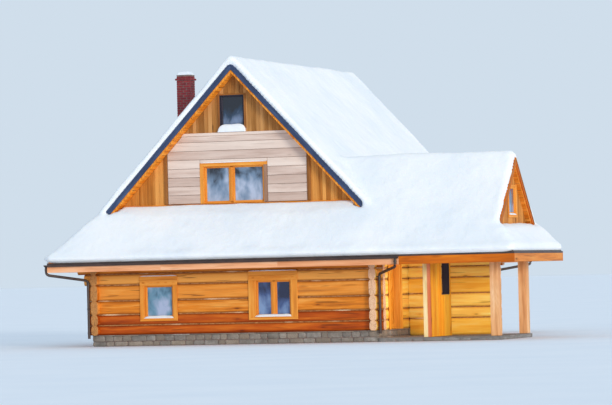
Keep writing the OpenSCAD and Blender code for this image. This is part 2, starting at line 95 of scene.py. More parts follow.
WING_W = [(WM, .64, 3.82, 4.56, .09, 0, 0)]


def ztop(d):
    return EAVE + d * T


# ---------------------------------------------------------------- small mesh kit
class Solids:
    """Collects closed solids. Each has its own grain frame, written to the attribute
    gc (x along the grain), and its own tone, written to the attribute tone."""

    def __init__(self, seed=1):
        self.v, self.f, self.m, self.sm, self.gc, self.tone, self.edge = [], [], [], [], [], [], []
        self.r = random.Random(seed)

    def add(self, verts, faces, origin=(0, 0, 0), axes=None, tone=None, mats=None, smooth=False, shift=None, edge=None):
        n = len(self.v)
        tone = self.r.random() if tone is None else tone
        shift = self.r.uniform(-40, 40) if shift is None else shift
        ax = [Vector(a) for a in (axes or ((1, 0, 0), (0, 1, 0), (0, 0, 1)))]
        o = Vector(origin)
        for p in verts:
            q = Vector(p) - o
            self.v.append((p[0], p[1], p[2]))
            self.gc.append((q.dot(ax[0]) + shift, q.dot(ax[1]), q.dot(ax[2])))
            self.tone.append(tone)
        self.edge += list(edge) if edge is not None else [0.0] * len(verts)
        for k, f in enumerate(faces):
            self.f.append([i + n for i in f])
            self.m.append(mats[k] if isinstance(mats, (list, tuple)) else (mats or 0))
            self.sm.append(smooth[k] if isinstance(smooth, (list, tuple)) else smooth)

    def obj(self, name, mats, body="house", replaces=(), angle=None, merge=False):
        me = bpy.data.meshes.new(name)
        me.from_pydata([(x + OX, y + OY, z) for x, y, z in self.v], [], self.f)
        me.update()
        me.polygons.foreach_set("material_index", self.m)
        me.polygons.foreach_set("use_smooth", [bool(s) for s in self.sm])
        a = me.attributes.new("gc", "FLOAT_VECTOR", "POINT")
        a.data.foreach_set("vector", np.array(self.gc, np.float32).ravel())
        a = me.attributes.new("tone", "FLOAT", "POINT")
        a.data.foreach_set("value", np.array(self.tone, np.float32))
        # edge: nearness to a log joint, where the wood material paints shade
        a = me.attributes.new("edge", "FLOAT", "POINT")
        a.data.foreach_set("value", np.array(self.edge, np.float32))
        for m in mats:
            me.materials.append(m)
        o = bpy.data.objects.new(name, me)
        scene.collection.objects.link(o)
        # outward faces everywhere
        bm = bmesh.new()
        bm.from_mesh(me)
        bmesh.ops.recalc_face_normals(bm, faces=bm.faces)
        bm.to_mesh(me)
        bm.free()
        if angle is not None:
            me.set_sharp_from_angle(angle=math.radians(angle))
        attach(o, body)
        if replaces:
            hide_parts(*replaces)
        return o


def cbox(S, x0, x1, y0, y1, z0, z1, c=0.006, grain=None, tone=None, mats=0, M=None, shift=None):
    """Box with chamfered edges, grain along its longest side unless told."""
    lo, hi = (x0, y0, z0), (x1, y1, z1)
    c = min(c, (x1 - x0) * .45, (y1 - y0) * .45, (z1 - z0) * .45)
    vs, idx = [], {}
    for sx in (0, 1):
        for sy in (0, 1):
            for sz in (0, 1):
                s = (sx, sy, sz)
                for a in range(3):
                    p = []
                    for k in range(3):
                        base = hi[k] if s[k] else lo[k]
                        if k != a:
                            base += -c if s[k] else c
                        p.append(base)
                    idx[(s, a)] = len(vs)
                    vs.append(Vector(p))
    fs = []
    for a in range(3):
        b, d = (a + 1) % 3, (a + 2) % 3
        for side in (0, 1):
            ring = []
            for ub, ud in ((0, 0), (1, 0), (1, 1), (0, 1)):
                s = [0, 0, 0]
                s[a], s[b], s[d] = side, ub, ud
                ring.append(idx[(tuple(s), a)])
            fs.append(ring)
    for a in range(3):
        b, d = (a + 1) % 3, (a + 2) % 3
        for ub in (0, 1):
            for ud in (0, 1):
                s0, s1 = [0, 0, 0], [0, 0, 0]
                s0[a], s1[a] = 0, 1
                s0[b] = s1[b] = ub
                s0[d] = s1[d] = ud
                s0, s1 = tuple(s0), tuple(s1)
                fs.append([idx[(s0, b)], idx[(s1, b)], idx[(s1, d)], idx[(s0, d)]])
    for sx in (0, 1):
        for sy in (0, 1):
            for sz in (0, 1):
                s = (sx, sy, sz)
                fs.append([idx[(s, 0)], idx[(s, 1)], idx[(s, 2)]])
    size = (x1 - x0, y1 - y0, z1 - z0)
    g = grain if grain is not None else size.index(max(size))
    axes = [((1, 0, 0), (0, 1, 0), (0, 0, 1)), ((0, 1, 0), (1, 0, 0), (0, 0, 1)), ((0, 0, 1), (1, 0, 0), (0, 1, 0))][g]
    o = Vector(((x0 + x1) / 2, (y0 + y1) / 2, (z0 + z1) / 2))
    if M is not None:
        vs = [M @ v for v in vs]
        o = M @ o
        R = M.to_3x3()
        axes = [R @ Vector(a) for a in axes]
    S.add(vs, fs, origin=o, axes=axes, tone=tone, mats=mats, shift=shift)


def inset(poly, c):
    """Convex polygon (counter-clockwise) moved inwards by c."""
    n = len(poly)
    out = []
    for i in range(n):
        p0, p1, p2 = Vector(poly[i - 1]), Vector(poly[i]), Vector(poly[(i + 1) % n])
        d1, d2 = (p1 - p0).normalized(), (p2 - p1).normalized()
        n1, n2 = Vector((-d1.y, d1.x)), Vector((-d2.y, d2.x))
        k = 1 + n1.dot(n2)
        out.append(p1 + (n1 + n2) * (c / max(k, 0.3)))
    return out


def safe_inset(poly, c):
    """inset(), with c made smaller until no edge is turned round by it."""
    n = len(poly)
    while True:
        q = inset(poly, c)
        if c < 1e-4 or all((q[i] - q[i - 1]).dot(Vector(poly[i]) - Vector(poly[i - 1])) > 0 for i in range(n)):
            return q, c
        c *= .6


def area2(poly):
    return sum(poly[i - 1][0] * poly[i][1] - poly[i][0] * poly[i - 1][1] for i in range(len(poly))) / 2


def plate(S, poly, to3d, depth, c=0.005, grain=(1, 0), tone=None, mats=0, back=0.0, gap=0.0):
    """A flat board of convex outline poly (2-D), its face at n = back and its back at
    n = depth; to3d(u, v, n) places it. Its front edges are chamfered by c."""
    if area2(poly) < 0:
        poly = poly[::-1]
    if abs(area2(poly)) < 1e-5:
        return
    if gap:
        poly = safe_inset(poly, gap)[0]
    if area2(poly) < 2e-5:
        return
    n = len(poly)
    inn, c = safe_inset(poly, c)
    if area2(inn) <= 0:
        return
    vs = [to3d(p[0], p[1], back) for p in inn] + [to3d(p[0], p[1], back + c) for p in poly] + [to3d(p[0], p[1], depth) for p in poly]
    fs = [list(range(n)), list(range(3 * n - 1, 2 * n - 1, -1))]
    for i in range(n):
        j = (i + 1) % n
        fs.append([i, j, n + j, n + i])
        fs.append([n + i, n + j, 2 * n + j, 2 * n + i])
    o = Vector(to3d(0, 0, 0))
    gx = (Vector(to3d(grain[0], grain[1], 0)) - o).normalized()
    gy = (Vector(to3d(-grain[1], grain[0], 0)) - o).normalized()
    gz = (Vector(to3d(0, 0, 1)) - o).normalized()
    cu, cv = sum(p[0] for p in poly) / n, sum(p[1] for p in poly) / n
    S.add(vs, fs, origin=to3d(cu, cv, 0), axes=(gx, gy, gz), tone=tone, mats=mats)


def clip_poly(poly, a, b, c):
    """The part of a convex polygon where a*x + b*y <= c."""
    out = []
    for i in range(len(poly)):
        p, q = poly[i - 1], poly[i]
        fp, fq = a * p[0] + b * p[1] - c, a * q[0] + b * q[1] - c
        if fp <= 0:
            out.append(tuple(p))
        if (fp < 0 < fq) or (fq < 0 < fp):
            k = fp / (fp - fq)
            out.append((p[0] + (q[0] - p[0]) * k, p[1] + (q[1] - p[1]) * k))
    return out


def around_hole(rect, hole):
    """The parts of rect (x0, x1, z0, z1) outside hole."""
    x0, x1, z0, z1 = rect
    a0, a1, b0, b1 = hole
    if a1 <= x0 or a0 >= x1 or b1 <= z0 or b0 >= z1:
        return [rect]
    out = []
    if a0 > x0:
        out.append((x0, a0, z0, z1))
    if a1 < x1:
        out.append((a1, x1, z0, z1))
    m0, m1 = max(x0, a0), min(x1, a1)
    if b0 > z0:
        out.append((m0, m1, z0, b0))
    if b1 < z1:
        out.append((m0, m1, b1, z1))
    return out


# ---------------------------------------------------------------- materials
def srgb(r, g, b):
    f = lambda c: (c / 255 / 12.92) if c / 255 <= 0.04045 else ((c / 255 + 0.055) / 1.055) ** 2.4
    return (f(r), f(g), f(b), 1.0)


class Mat:
    def __init__(self, name, rough=0.6, metallic=0.0, spec=0.5):
        self.m = bpy.data.materials.new(name)
        self.m.use_nodes = True
        self.t = self.m.node_tree
        self.p = self.t.nodes["Principled BSDF"]
        self.p.inputs["Roughness"].default_value = rough
        self.p.inputs["Metallic"].default_value = metallic
        self.p.inputs["Specular IOR Level"].default_value = spec

    def n(self, kind, **props):
        x = self.t.nodes.new(kind)
        for k, v in props.items():
            setattr(x, k, v)
        return x

    def put(self, sock, val):
        if isinstance(val, bpy.types.NodeSocket):
            self.t.links.new(val, sock)
        else:
            sock.default_value = val

    def coord(self, src):
        if src == "gc":
            return self.n("ShaderNodeAttribute", attribute_name="gc").outputs["Vector"]
        c = self.n("ShaderNodeTexCoord").outputs["Object"]
        if src == "x":
            return c
        s = self.n("ShaderNodeSeparateXYZ")
        self.put(s.inputs[0], c)
        k = self.n("ShaderNodeCombineXYZ")
        order = {"y": (1, 0, 2), "z": (2, 0, 1)}[src]
        for i in range(3):
            self.put(k.inputs[i], s.outputs[order[i]])
        return k.outputs[0]

    def scale(self, v, s):
        x = self.n("ShaderNodeVectorMath", operation="MULTIPLY")
        self.put(x.inputs[0], v)
        x.inputs[1].default_value = s if isinstance(s, (tuple, list)) else (s, s, s)
        return x.outputs[0]

    def vadd(self, a, b):
        x = self.n("ShaderNodeVectorMath", operation="ADD")
        self.put(x.inputs[0], a)
        self.put(x.inputs[1], b)
        return x.outputs[0]

    def noise(self, v, scale=1.0, detail=2.0, rough=0.5, dist=0.0, out="Fac"):
        x = self.n("ShaderNodeTexNoise")
        self.put(x.inputs["Vector"], v)
        x.inputs["Scale"].default_value = scale
        x.inputs["Detail"].default_value = detail
        x.inputs["Roughness"].default_value = rough
        x.inputs["Distortion"].default_value = dist
        return x.outputs[out]

    def voronoi(self, v, scale=1.0, feature="F1", out="Distance", rand=1.0):
        x = self.n("ShaderNodeTexVoronoi", feature=feature)
        self.put(x.inputs["Vector"], v)
        x.inputs["Scale"].default_value = scale
        x.inputs["Randomness"].default_value = rand
        return x.outputs[out]

    def math(self, op, a, b=0.0, c=None, clamp=False):
        x = self.n("ShaderNodeMath", operation=op, use_clamp=clamp)
        self.put(x.inputs[0], a)
        self.put(x.inputs[1], b)
        if c is not None:
            self.put(x.inputs[2], c)
        return x.outputs[0]

    def range(self, v, a0, a1, b0=0.0, b1=1.0, smooth=False):
        x = self.n("ShaderNodeMapRange", interpolation_type="SMOOTHSTEP" if smooth else "LINEAR")
        self.put(x.inputs["Value"], v)
        for k, val in (("From Min", a0), ("From Max", a1), ("To Min", b0), ("To Max", b1)):
            x.inputs[k].default_value = val
        return x.outputs[0]

    def mix(self, f, a, b, mode="MIX"):
        x = self.n("ShaderNodeMix", data_type="RGBA", blend_type=mode)
        self.put(x.inputs[0], f)
        self.put(x.inputs[6], a)
        self.put(x.inputs[7], b)
        return x.outputs[2]

    def ramp(self, f, stops):
        x = self.n("ShaderNodeValToRGB")
        self.put(x.inputs[0], f)
        e = x.color_ramp.elements
        while len(e) < len(stops):
            e.new(0.5)
        for i, (p, c) in enumerate(stops):
            e[i].position = p
            e[i].color = c
        return x.outputs[0]

    def bump(self, h, strength=0.4, dist=0.01, normal=None):
        x = self.n("ShaderNodeBump")
        x.inputs["Strength"].default_value = strength
        x.inputs["Distance"].default_value = dist
        self.put(x.inputs["Height"], h)
        if normal is not None:
            self.put(x.inputs["Normal"], normal)
        return x.outputs[0]

    def sep(self, v):
        x = self.n("ShaderNodeSeparateXYZ")
        self.put(x.inputs[0], v)
        return x.outputs

    def color(self, c):
        self.put(self.p.inputs["Base Color"], c)

    def normal(self, n):
        self.put(self.p.inputs["Normal"], n)


def wood(name, src, dark, mid, light, rough=0.62, knots=1.0, cracks=1.0, grain=1.0, tone=0.35, grey=0.0, rows=None, edge=0.0):
    """Softwood: growth lines, streaks, knots, drying cracks. rows = (axis, pitch, offset)
    adds joints between boards, at every pitch along that object axis."""
    M = Mat(name, rough, spec=0.22)
    v = M.coord(src)
    streak = M.noise(M.scale(v, (0.55, 7.0, 7.0)), 1.0, 4.0, 0.55)
    fine = M.noise(M.scale(v, (3.0, 95.0, 95.0)), 1.0, 2.0, 0.6)
    fig = M.noise(M.scale(v, (0.32, 3.4, 3.4)), 1.0, 2.0, 0.45, 0.25)
    lines = M.math("SINE", M.math("MULTIPLY", fig, 120.0 * grain))
    base = M.ramp(streak, [(0.28, dark), (0.5, mid), (0.74, light)])
    base = M.mix(M.range(lines, -1, 1, 0.0, 0.26), base, M.mix(0.55, dark, mid))
    base = M.mix(M.range(fine, 0.35, 0.7, 0.0, 0.22), base, dark)
    if tone:
        tn = M.n("ShaderNodeAttribute", attribute_name="tone").outputs["Fac"]
        base = M.mix(M.range(tn, 0.0, 0.5, tone, 0.0), base, M.mix(0.35, dark, mid))
        base = M.mix(M.range(tn, 0.5, 1.0, 0.0, tone), base, light)
    if grey:
        wn = M.noise(M.scale(v, (0.4, 1.6, 1.6)), 1.0, 3.0, 0.6)
        base = M.mix(M.range(wn, 0.45, 0.75, 0.0, grey), base, srgb(150, 132, 116))
    height = M.math("MULTIPLY", fine, 0.5)
    height = M.math("ADD", height, M.math("MULTIPLY", lines, 0.12))
    if knots:
        kv = M.scale(v, (1.15, 4.2, 4.2))
        kd = M.voronoi(kv, 1.0)
        kc = M.sep(M.voronoi(kv, 1.0, out="Color"))[0]
        on = M.math("GREATER_THAN", kc, 0.62)
        core = M.math("MULTIPLY", M.range(kd, 0.05, 0.13, 1.0, 0.0, True), on)
        halo = M.math("MULTIPLY", M.range(kd, 0.10, 0.30, 0.4, 0.0, True), on)
        kcol = M.mix(0.72, dark, (0.03, 0.012, 0.005, 1))
        base = M.mix(M.math("MULTIPLY", halo, knots), base, dark)
        base = M.mix(M.math("MULTIPLY", core, 0.75 * knots), base, kcol)
    if cracks:
        cn = M.noise(M.scale(v, (0.75, 19.0, 19.0)), 1.0, 1.0, 0.4, 0.1)
        cm = M.range(cn, 0.665, 0.70, 0.0, 1.0)
        base = M.mix(M.math("MULTIPLY", cm, 0.55 * cracks), base, M.mix(0.8, dark, (0.02, 0.01, 0.004, 1)))
        height = M.math("SUBTRACT", height, M.math("MULTIPLY", cm, 1.6 * cracks))
    # Towards the log joints the colour darkens: painted shade between the rounded logs.
    if edge:
        en = M.n("ShaderNodeAttribute", attribute_name="edge").outputs["Fac"]
        base = M.mix(M.range(en, 0.15, 0.95, 0.0, edge, True), base, M.mix(0.35, dark, (0.05, 0.016, 0.004, 1)))
    nrm = M.bump(height, 0.35, 0.006)
    if rows:
        c = M.n("ShaderNodeTexCoord").outputs["Object"]
        s = M.sep(c)[{"x": 0, "y": 1, "z": 2}[rows[0]]]
        k = M.math("ADD", M.math("MULTIPLY", s, 1.0 / rows[1]), rows[2])
        fr = M.math("FRACT", k)
        edge = M.math("ABSOLUTE", M.math("SUBTRACT", fr, 0.5))
        line = M.range(edge, 0.46, 0.49, 0.0, 1.0)
        rn = M.n("ShaderNodeTexWhiteNoise", noise_dimensions="1D")
        M.put(rn.inputs["W"], M.math("FLOOR", k))
        base = M.mix(M.math("MULTIPLY", rn.outputs["Value"], 0.35), base, dark)
        base = M.mix(M.math("MULTIPLY", line, 0.85), base, (0.02, 0.012, 0.007, 1))
        nrm = M.bump(M.math("MULTIPLY", line, -1.0), 0.8, 0.012, nrm)
    M.color(base)
    M.put(M.p.inputs["Roughness"], M.range(streak, 0.3, 0.75, rough - 0.08, rough + 0.12))
    M.normal(nrm)
    return M.m


def end_grain(name, dark, mid, light, rough=0.75):
    """Sawn end of a log: rings round the pith, radial cracks."""
    M = Mat(name, rough)
    v = M.coord("gc")
    s = M.sep(v)
    wob = M.noise(M.scale(v, (0.5, 6.0, 6.0)), 1.0, 3.0)
    r = M.math("SQRT", M.math("ADD", M.math("POWER", s[1], 2.0), M.math("POWER", s[2], 2.0)))
    r = M.math("ADD", r, M.math("MULTIPLY", wob, 0.02))
    ring = M.math("SINE", M.math("MULTIPLY", r, 520.0))
    base = M.ramp(M.range(ring, -1, 1), [(0.0, dark), (0.45, mid), (1.0, light)])
    ang = M.math("ARCTAN2", s[1], s[2])
    k = M.n("ShaderNodeCombineXYZ")
    M.put(k.inputs[0], M.math("MULTIPLY", ang, 2.2))
    M.put(k.inputs[1], M.math("MULTIPLY", s[0], 0.7))
    cr = M.noise(k.outputs[0], 1.0, 1.0)
    crack = M.math("MULTIPLY", M.range(cr, 0.63, 0.67, 0.0, 1.0), M.range(r, 0.01, 0.05, 0.0, 1.0))
    base = M.mix(M.math("MULTIPLY", crack, 0.45), base, M.mix(0.5, dark, (0.03, 0.015, 0.006, 1)))
    edge = M.noise(M.scale(v, (1.0, 14.0, 14.0)), 1.0, 3.0)
    base = M.mix(M.range(edge, 0.4, 0.75, 0.0, 0.4), base, dark)
    M.color(base)
    M.normal(M.bump(M.math("SUBTRACT", M.math("MULTIPLY", ring, 0.3), crack), 0.4, 0.006))
    return M.m


# edge= sets how strong the painted shade along the log joints is.
LOG_D, LOG_M, LOG_L = srgb(148, 68, 6), srgb(224, 129, 24), srgb(245, 177, 88)
m_log = wood("log_wood", "gc", LOG_D, LOG_M, LOG_L, rough=0.55, tone=0.72, edge=0.8)
m_log_base = wood("log_wood_lowest_course", "gc", srgb(124, 42, 4), srgb(190, 84, 10), srgb(226, 126, 36), rough=0.55, tone=0.3, edge=0.7)
# The walls inside the porch take a brighter, yellower copy of the log wood: painted sunlight.
m_log_painted_sun = wood("log_wood_painted_sunlight", "gc", srgb(234, 150, 36), srgb(255, 209, 86), srgb(255, 238, 148), rough=0.5, tone=0.4, edge=0.35)
m_log_end = end_grain("log_end_grain", srgb(196, 142, 100), srgb(233, 189, 150), srgb(243, 210, 178))
m_log_end_warm = end_grain("log_end_grain_warm", srgb(134, 74, 28), srgb(183, 115, 60), srgb(217, 165, 92))
m_beam_x = wood("beam_wood_x", "x", srgb(186, 96, 22), srgb(238, 150, 58), srgb(250, 192, 116), tone=0)
m_beam_z = wood("beam_wood_z", "z", srgb(184, 112, 60), srgb(234, 178, 124), srgb(250, 214, 172), tone=0)
m_beam = wood("beam_wood_pieces", "gc", srgb(186, 96, 22), srgb(238, 150, 58), srgb(250, 192, 116), tone=0.35)
m_tail = wood("rafter_wood", "gc", srgb(150, 84, 34), srgb(205, 128, 60), srgb(226, 160, 92), tone=0.4)
m_gable = wood("gable_boards", "gc", srgb(130, 72, 20), srgb(199, 126, 48), srgb(226, 160, 84), tone=0.75, cracks=0.4)
# The attic triangle's boards are a darker copy of the gable boards: painted shade under the verges.
m_gable_attic_shaded = wood("attic_boards_painted_shade", "gc", srgb(102, 62, 22), srgb(170, 114, 54), srgb(204, 150, 92), tone=0.75, cracks=0.4)
m_pale = wood("pale_boards", "gc", srgb(169, 140, 126), srgb(212, 189, 177), srgb(230, 212, 200), tone=0.6, knots=0.3, cracks=0.25, grain=0.8)
# Near-black wood: the attic windows' sashes, and the lining of the porch screen's opening, where it is painted shade.
m_dark_sash_and_shade = wood("dark_sash_wood_and_painted_shade", "gc", srgb(26, 24, 34), srgb(48, 46, 60), srgb(72, 68, 78), tone=0.2, knots=0.2, cracks=0.3, rough=0.5)
m_dark_trim = wood("dark_trim", "gc", srgb(62, 34, 18), srgb(122, 74, 40), srgb(152, 98, 58), tone=0.3, cracks=0.5)
m_post_trim = wood("post_trim", "gc", srgb(92, 52, 20), srgb(156, 98, 44), srgb(186, 126, 66), tone=0.3, cracks=0.5)
m_soffit_x = wood("soffit_boards_x", "x", srgb(186, 96, 20), srgb(244, 150, 44), srgb(252, 184, 96), tone=0, rows=("y", 0.101, 0.3))
m_soffit_y = wood("soffit_boards_y", "y", srgb(190, 98, 18), srgb(248, 152, 40), srgb(252, 186, 92), tone=0, rows=("x", 0.101, 0.2))
m_fascia = wood("fascia_wood", "gc", srgb(206, 128, 80), srgb(244, 178, 132), srgb(252, 206, 168), tone=0.5, cracks=0.5)
m_fascia_end = wood("fascia_wood_end", "gc", srgb(158, 84, 22), srgb(228, 142, 64), srgb(246, 180, 104), tone=0.4, cracks=0.5)
m_fascia_wing = wood("fascia_wood_wing", "gc", srgb(138, 56, 2), srgb(196, 94, 4), srgb(222, 126, 22), tone=0.4, cracks=0.5)
m_trim = wood("trim_wood", "gc", srgb(186, 104, 26), srgb(228, 142, 48), srgb(244, 178, 84), tone=0.3, knots=0.35, cracks=0.2, rough=0.5)
m_trim_grey = wood("trim_wood_grey", "gc", srgb(110, 78, 62), srgb(160, 122, 100), srgb(190, 152, 128), tone=0.3, knots=0.3, cracks=0.3, rough=0.62)
# The door and its frame are brighter, yellower wood than the window trim: painted sunlight, as on the porch walls.
m_door = wood("door_wood", "gc", srgb(196, 108, 18), srgb(244, 164, 50), srgb(252, 200, 96), tone=0.4, knots=0.7, cracks=0.3, rough=0.5)
m_door_trim = wood("door_frame_wood_painted_sunlight", "gc", srgb(204, 118, 24), srgb(248, 172, 60), srgb(254, 206, 106), tone=0.3, knots=0.35, cracks=0.2, rough=0.5)
m_screen = wood("screen_boards", "gc", srgb(214, 112, 8), srgb(254, 166, 24), srgb(255, 204, 72), tone=0.6, cracks=0.3, rough=0.52)
# The screen's two front boards: a pale one, painted highlight, and a red one, painted shade.
m_screen_painted_highlight = wood("screen_boards_painted_highlight", "gc", srgb(214, 170, 96), srgb(248, 222, 160), srgb(254, 238, 200), tone=0.2, cracks=0.3, rough=0.55)
m_screen_painted_shade = wood("screen_boards_painted_shade", "gc", srgb(168, 70, 30), srgb(222, 118, 70), srgb(240, 156, 116), tone=0.2, cracks=0.3, rough=0.55)
m_floor = wood("floor_boards", "y", srgb(140, 96, 56), srgb(190, 146, 98), srgb(214, 174, 128), tone=0, rows=("x", 0.14, 0.0))


def barge_paint():
    M = Mat("barge_paint", 0.5)
    v = M.scale(M.coord("gc"), (0.35, 1.0, 1.0))
    n1 = M.noise(v, 2.2, 4.0, 0.6)
    n2 = M.noise(M.scale(v, (6, 6, 6)), 6.0, 3.0, 0.6)
    base = M.ramp(n1, [(0.3, srgb(26, 38, 66)), (0.55, srgb(42, 60, 96)), (0.8, srgb(66, 90, 126))])
    worn = M.range(n2, 0.60, 0.70, 0.0, 0.55)
    base = M.mix(worn, base, srgb(96, 94, 102))
    M.color(base)
    M.put(M.p.inputs["Roughness"], M.range(n2, 0.3, 0.7, 0.4, 0.68))
    M.normal(M.bump(n2, 0.25, 0.006))
    return M.m


m_barge = barge_paint()


def snow_material():
    M = Mat("snow", 0.72, spec=0.3)
    v = M.coord("x")
    big = M.noise(v, 0.55, 4.0, 0.55)
    mid = M.noise(v, 3.5, 4.0, 0.6)
    fine = M.noise(v, 38.0, 3.0, 0.65)
    base = M.ramp(big, [(0.3, (0.72, 0.765, 0.82, 1)), (0.5, (0.78, 0.805, 0.84, 1)), (0.72, (0.83, 0.84, 0.855, 1))])
    base = M.mix(M.range(fine, 0.4, 0.72, 0.0, 0.12), base, (0.66, 0.71, 0.78, 1))
    M.color(base)
    h = M.math("ADD", M.math("MULTIPLY", mid, 1.0), M.math("MULTIPLY", fine, 0.18))
    M.normal(M.bump(h, 0.55, 0.05))
    M.p.inputs["Subsurface Weight"].default_value = 0.12
    M.p.inputs["Subsurface Radius"].default_value = (0.06, 0.08, 0.11)
    M.p.inputs["Sheen Weight"].default_value = 0.05
    return M.m


m_snow = snow_material()


def stone_material(name, cols, scale=1.0, src="gc", tone=0.8):
    M = Mat(name, 0.85)
    v = M.coord(src)
    n1 = M.noise(v, 3.0 * scale, 5.0, 0.62)
    n2 = M.noise(v, 26.0 * scale, 4.0, 0.65)
    n3 = M.voronoi(v, 60.0 * scale)
    base = M.ramp(n1, [(0.28, cols[0]), (0.5, cols[1]), (0.74, cols[2])])
    if tone:
        tn = M.n("ShaderNodeAttribute", attribute_name="tone").outputs["Fac"]
        base = M.mix(M.range(tn, 0, 1, 0.0, tone), base, cols[3])
        base = M.mix(M.range(M.math("FRACT", M.math("MULTIPLY", tn, 5.7)), 0, 1, 0.0, tone * 0.6), base, cols[0])
    base = M.mix(M.range(n2, 0.45, 0.7, 0.0, 0.4), base, cols[0])
    base = M.mix(M.range(n3, 0.0, 0.25, 0.25, 0.0), base, cols[2])
    M.color(base)
    M.put(M.p.inputs["Roughness"], M.range(n2, 0.3, 0.7, 0.75, 0.95))
    M.normal(M.bump(M.math("ADD", n1, M.math("MULTIPLY", n2, 0.5)), 0.7, 0.015))
    return M.m


m_stone = stone_material("stone", [srgb(84, 80, 76), srgb(138, 132, 126), srgb(178, 172, 166), srgb(150, 132, 112)])
m_paving = stone_material("paving_stone", [srgb(92, 88, 86), srgb(142, 138, 134), srgb(176, 172, 168), srgb(128, 122, 118)])
m_brick = stone_material("brick", [srgb(92, 22, 30), srgb(150, 44, 50), srgb(184, 74, 66), srgb(118, 30, 42)], 1.6, tone=0.7)


def mortar_material():
    M = Mat("mortar", 0.95)
    v = M.coord("x")
    n1 = M.noise(v, 9.0, 5.0, 0.65)
    n2 = M.noise(v, 90.0, 3.0, 0.6)
    M.color(M.ramp(n1, [(0.3, srgb(96, 78, 74)), (0.6, srgb(132, 112, 106)), (0.85, srgb(156, 140, 132))]))
    M.normal(M.bump(M.math("ADD", n1, M.math("MULTIPLY", n2, 0.6)), 0.8, 0.01))
    return M.m


m_mortar = mortar_material()


def metal_material(name, c0, c1, rough, metallic=0.0):
    M = Mat(name, rough, metallic)
    v = M.coord("x")
    n1 = M.noise(v, 3.0, 4.0, 0.6)
    n2 = M.noise(v, 55.0, 3.0, 0.6)
    base = M.ramp(n1, [(0.3, c0), (0.7, c1)])
    base = M.mix(M.range(n2, 0.62, 0.72, 0.0, 0.35), base, srgb(120, 92, 74))
    M.color(base)
    M.put(M.p.inputs["Roughness"], M.range(n1, 0.3, 0.7, rough - 0.06, rough + 0.14))
    M.normal(M.bump(M.math("ADD", n1, M.math("MULTIPLY", n2, 0.2)), 0.15, 0.006))
    return M.m


m_gutter = metal_material("gutter_metal", srgb(46, 34, 32), srgb(74, 56, 50), 0.42)
m_iron = metal_material("dark_iron", srgb(24, 24, 26), srgb(46, 44, 46), 0.5, 0.6)


def glass_painted_reflection(name, deep, mid, sky, z0, z1, cut=0.5):
    """Window glass with painted reflections: a painted dark room behind, painted tones of the
    sky and the snow in the pane, lighter towards the bottom. z0 to z1 is where the painted dark top ends."""
    M = Mat(name, 0.07, spec=0.6)
    v = M.coord("x")
    s = M.sep(v)
    n1 = M.noise(M.scale(v, (1.5, 1.5, 1.1)), 1.0, 2.0, 0.5, 0.4)
    n2 = M.noise(M.scale(v, (5.0, 5.0, 3.0)), 1.0, 3.0, 0.55, 0.6)
    low = M.range(s[2], z0, z1, 1.0, 0.0, True)
    f = M.math("ADD", M.math("MULTIPLY", low, 0.45), M.math("MULTIPLY", M.math("SUBTRACT", n1, cut), 2.6))
    f = M.math("ADD", f, M.math("MULTIPLY", M.math("SUBTRACT", n2, 0.5), 0.7))
    base = M.ramp(f, [(0.05, deep), (0.4, mid), (0.85, sky)])
    M.color(base)
    M.p.inputs["Coat Weight"].default_value = 0.35
    M.p.inputs["Coat Roughness"].default_value = 0.03
    M.normal(M.bump(n1, 0.03, 0.01))
    return M.m


m_glass_dark = glass_painted_reflection("window_glass", srgb(14, 20, 58), srgb(56, 78, 128), srgb(116, 144, 186), 1.1, 1.8, 0.45)
m_glass_pale = glass_painted_reflection("window_glass_pale", srgb(50, 84, 108), srgb(94, 136, 162), srgb(160, 174, 204), 1.0, 1.7, 0.42)
m_glass_upper = glass_painted_reflection("window_glass_upper", srgb(24, 30, 44), srgb(104, 126, 152), srgb(170, 180, 202), 4.6, 5.4, 0.40)
m_glass_attic = glass_painted_reflection("window_glass_attic", srgb(6, 14, 30), srgb(22, 48, 74), srgb(110, 128, 160), 6.9, 7.5, 0.56)
m_glass_wing = glass_painted_reflection("window_glass_wing", srgb(60, 84, 112), srgb(128, 158, 194), srgb(182, 204, 232), 3.9, 4.5, 0.42)


def rope_material():
    M = Mat("caulking_rope", 0.9)
    v = M.coord("gc")
    n1 = M.noise(M.scale(v, (9, 30, 30)), 1.0, 3.0, 0.6)
    n2 = M.noise(v, 4.0, 3.0)
    base = M.ramp(n1, [(0.3, srgb(120, 72, 34)), (0.55, srgb(176, 122, 72)), (0.8, srgb(206, 160, 108))])
    n3 = M.noise(M.scale(v, (0.7, 1.0, 1.0)), 1.0, 2.0, 0.5)
    base = M.mix(M.range(n3, 0.56, 0.66, 0.0, 0.75), base, srgb(244, 216, 176))
    base = M.mix(M.range(n2, 0.4, 0.7, 0.0, 0.3), base, srgb(120, 74, 40))
    M.color(base)
    M.normal(M.bump(n1, 0.7, 0.006))
    return M.m


m_rope = rope_material()


# ---------------------------------------------------------------- log walls
def log_profile(z0, z1, za, zb, seed, u):
    """Offsets from the flat wall faces at heights between za and zb, at station u."""
    h = z1 - z0
    zs = [z for z in (z0, z0 + .014, z0 + .035, z0 + .075, z0 + h * .32, z0 + h * .5, z0 + h * .68, z1 - .075, z1 - .035, z1 - .014, z1)]
    zs = [z for z in zs if za < z < zb]
    zs = [za] + [z for z in zs if z > za + .004 and z < zb - .004] + [zb]
    out = []
    for z in zs:
        s = abs(2 * (z - z0) / h - 1)
        edge = min(z - z0, z1 - z)
        rnd = 0.052 * max(0.0, 1 - edge / 0.085) ** 2
        wob = noise.noise(Vector((u * .9, z * 1.7, seed * 3.7))) * 0.006 + noise.noise(Vector((u * 3.1, z * 5.0, seed * 1.9))) * 0.0022
        out.append((z, 0.0045 + 0.006 * s * s + rnd + abs(wob)))
    return out


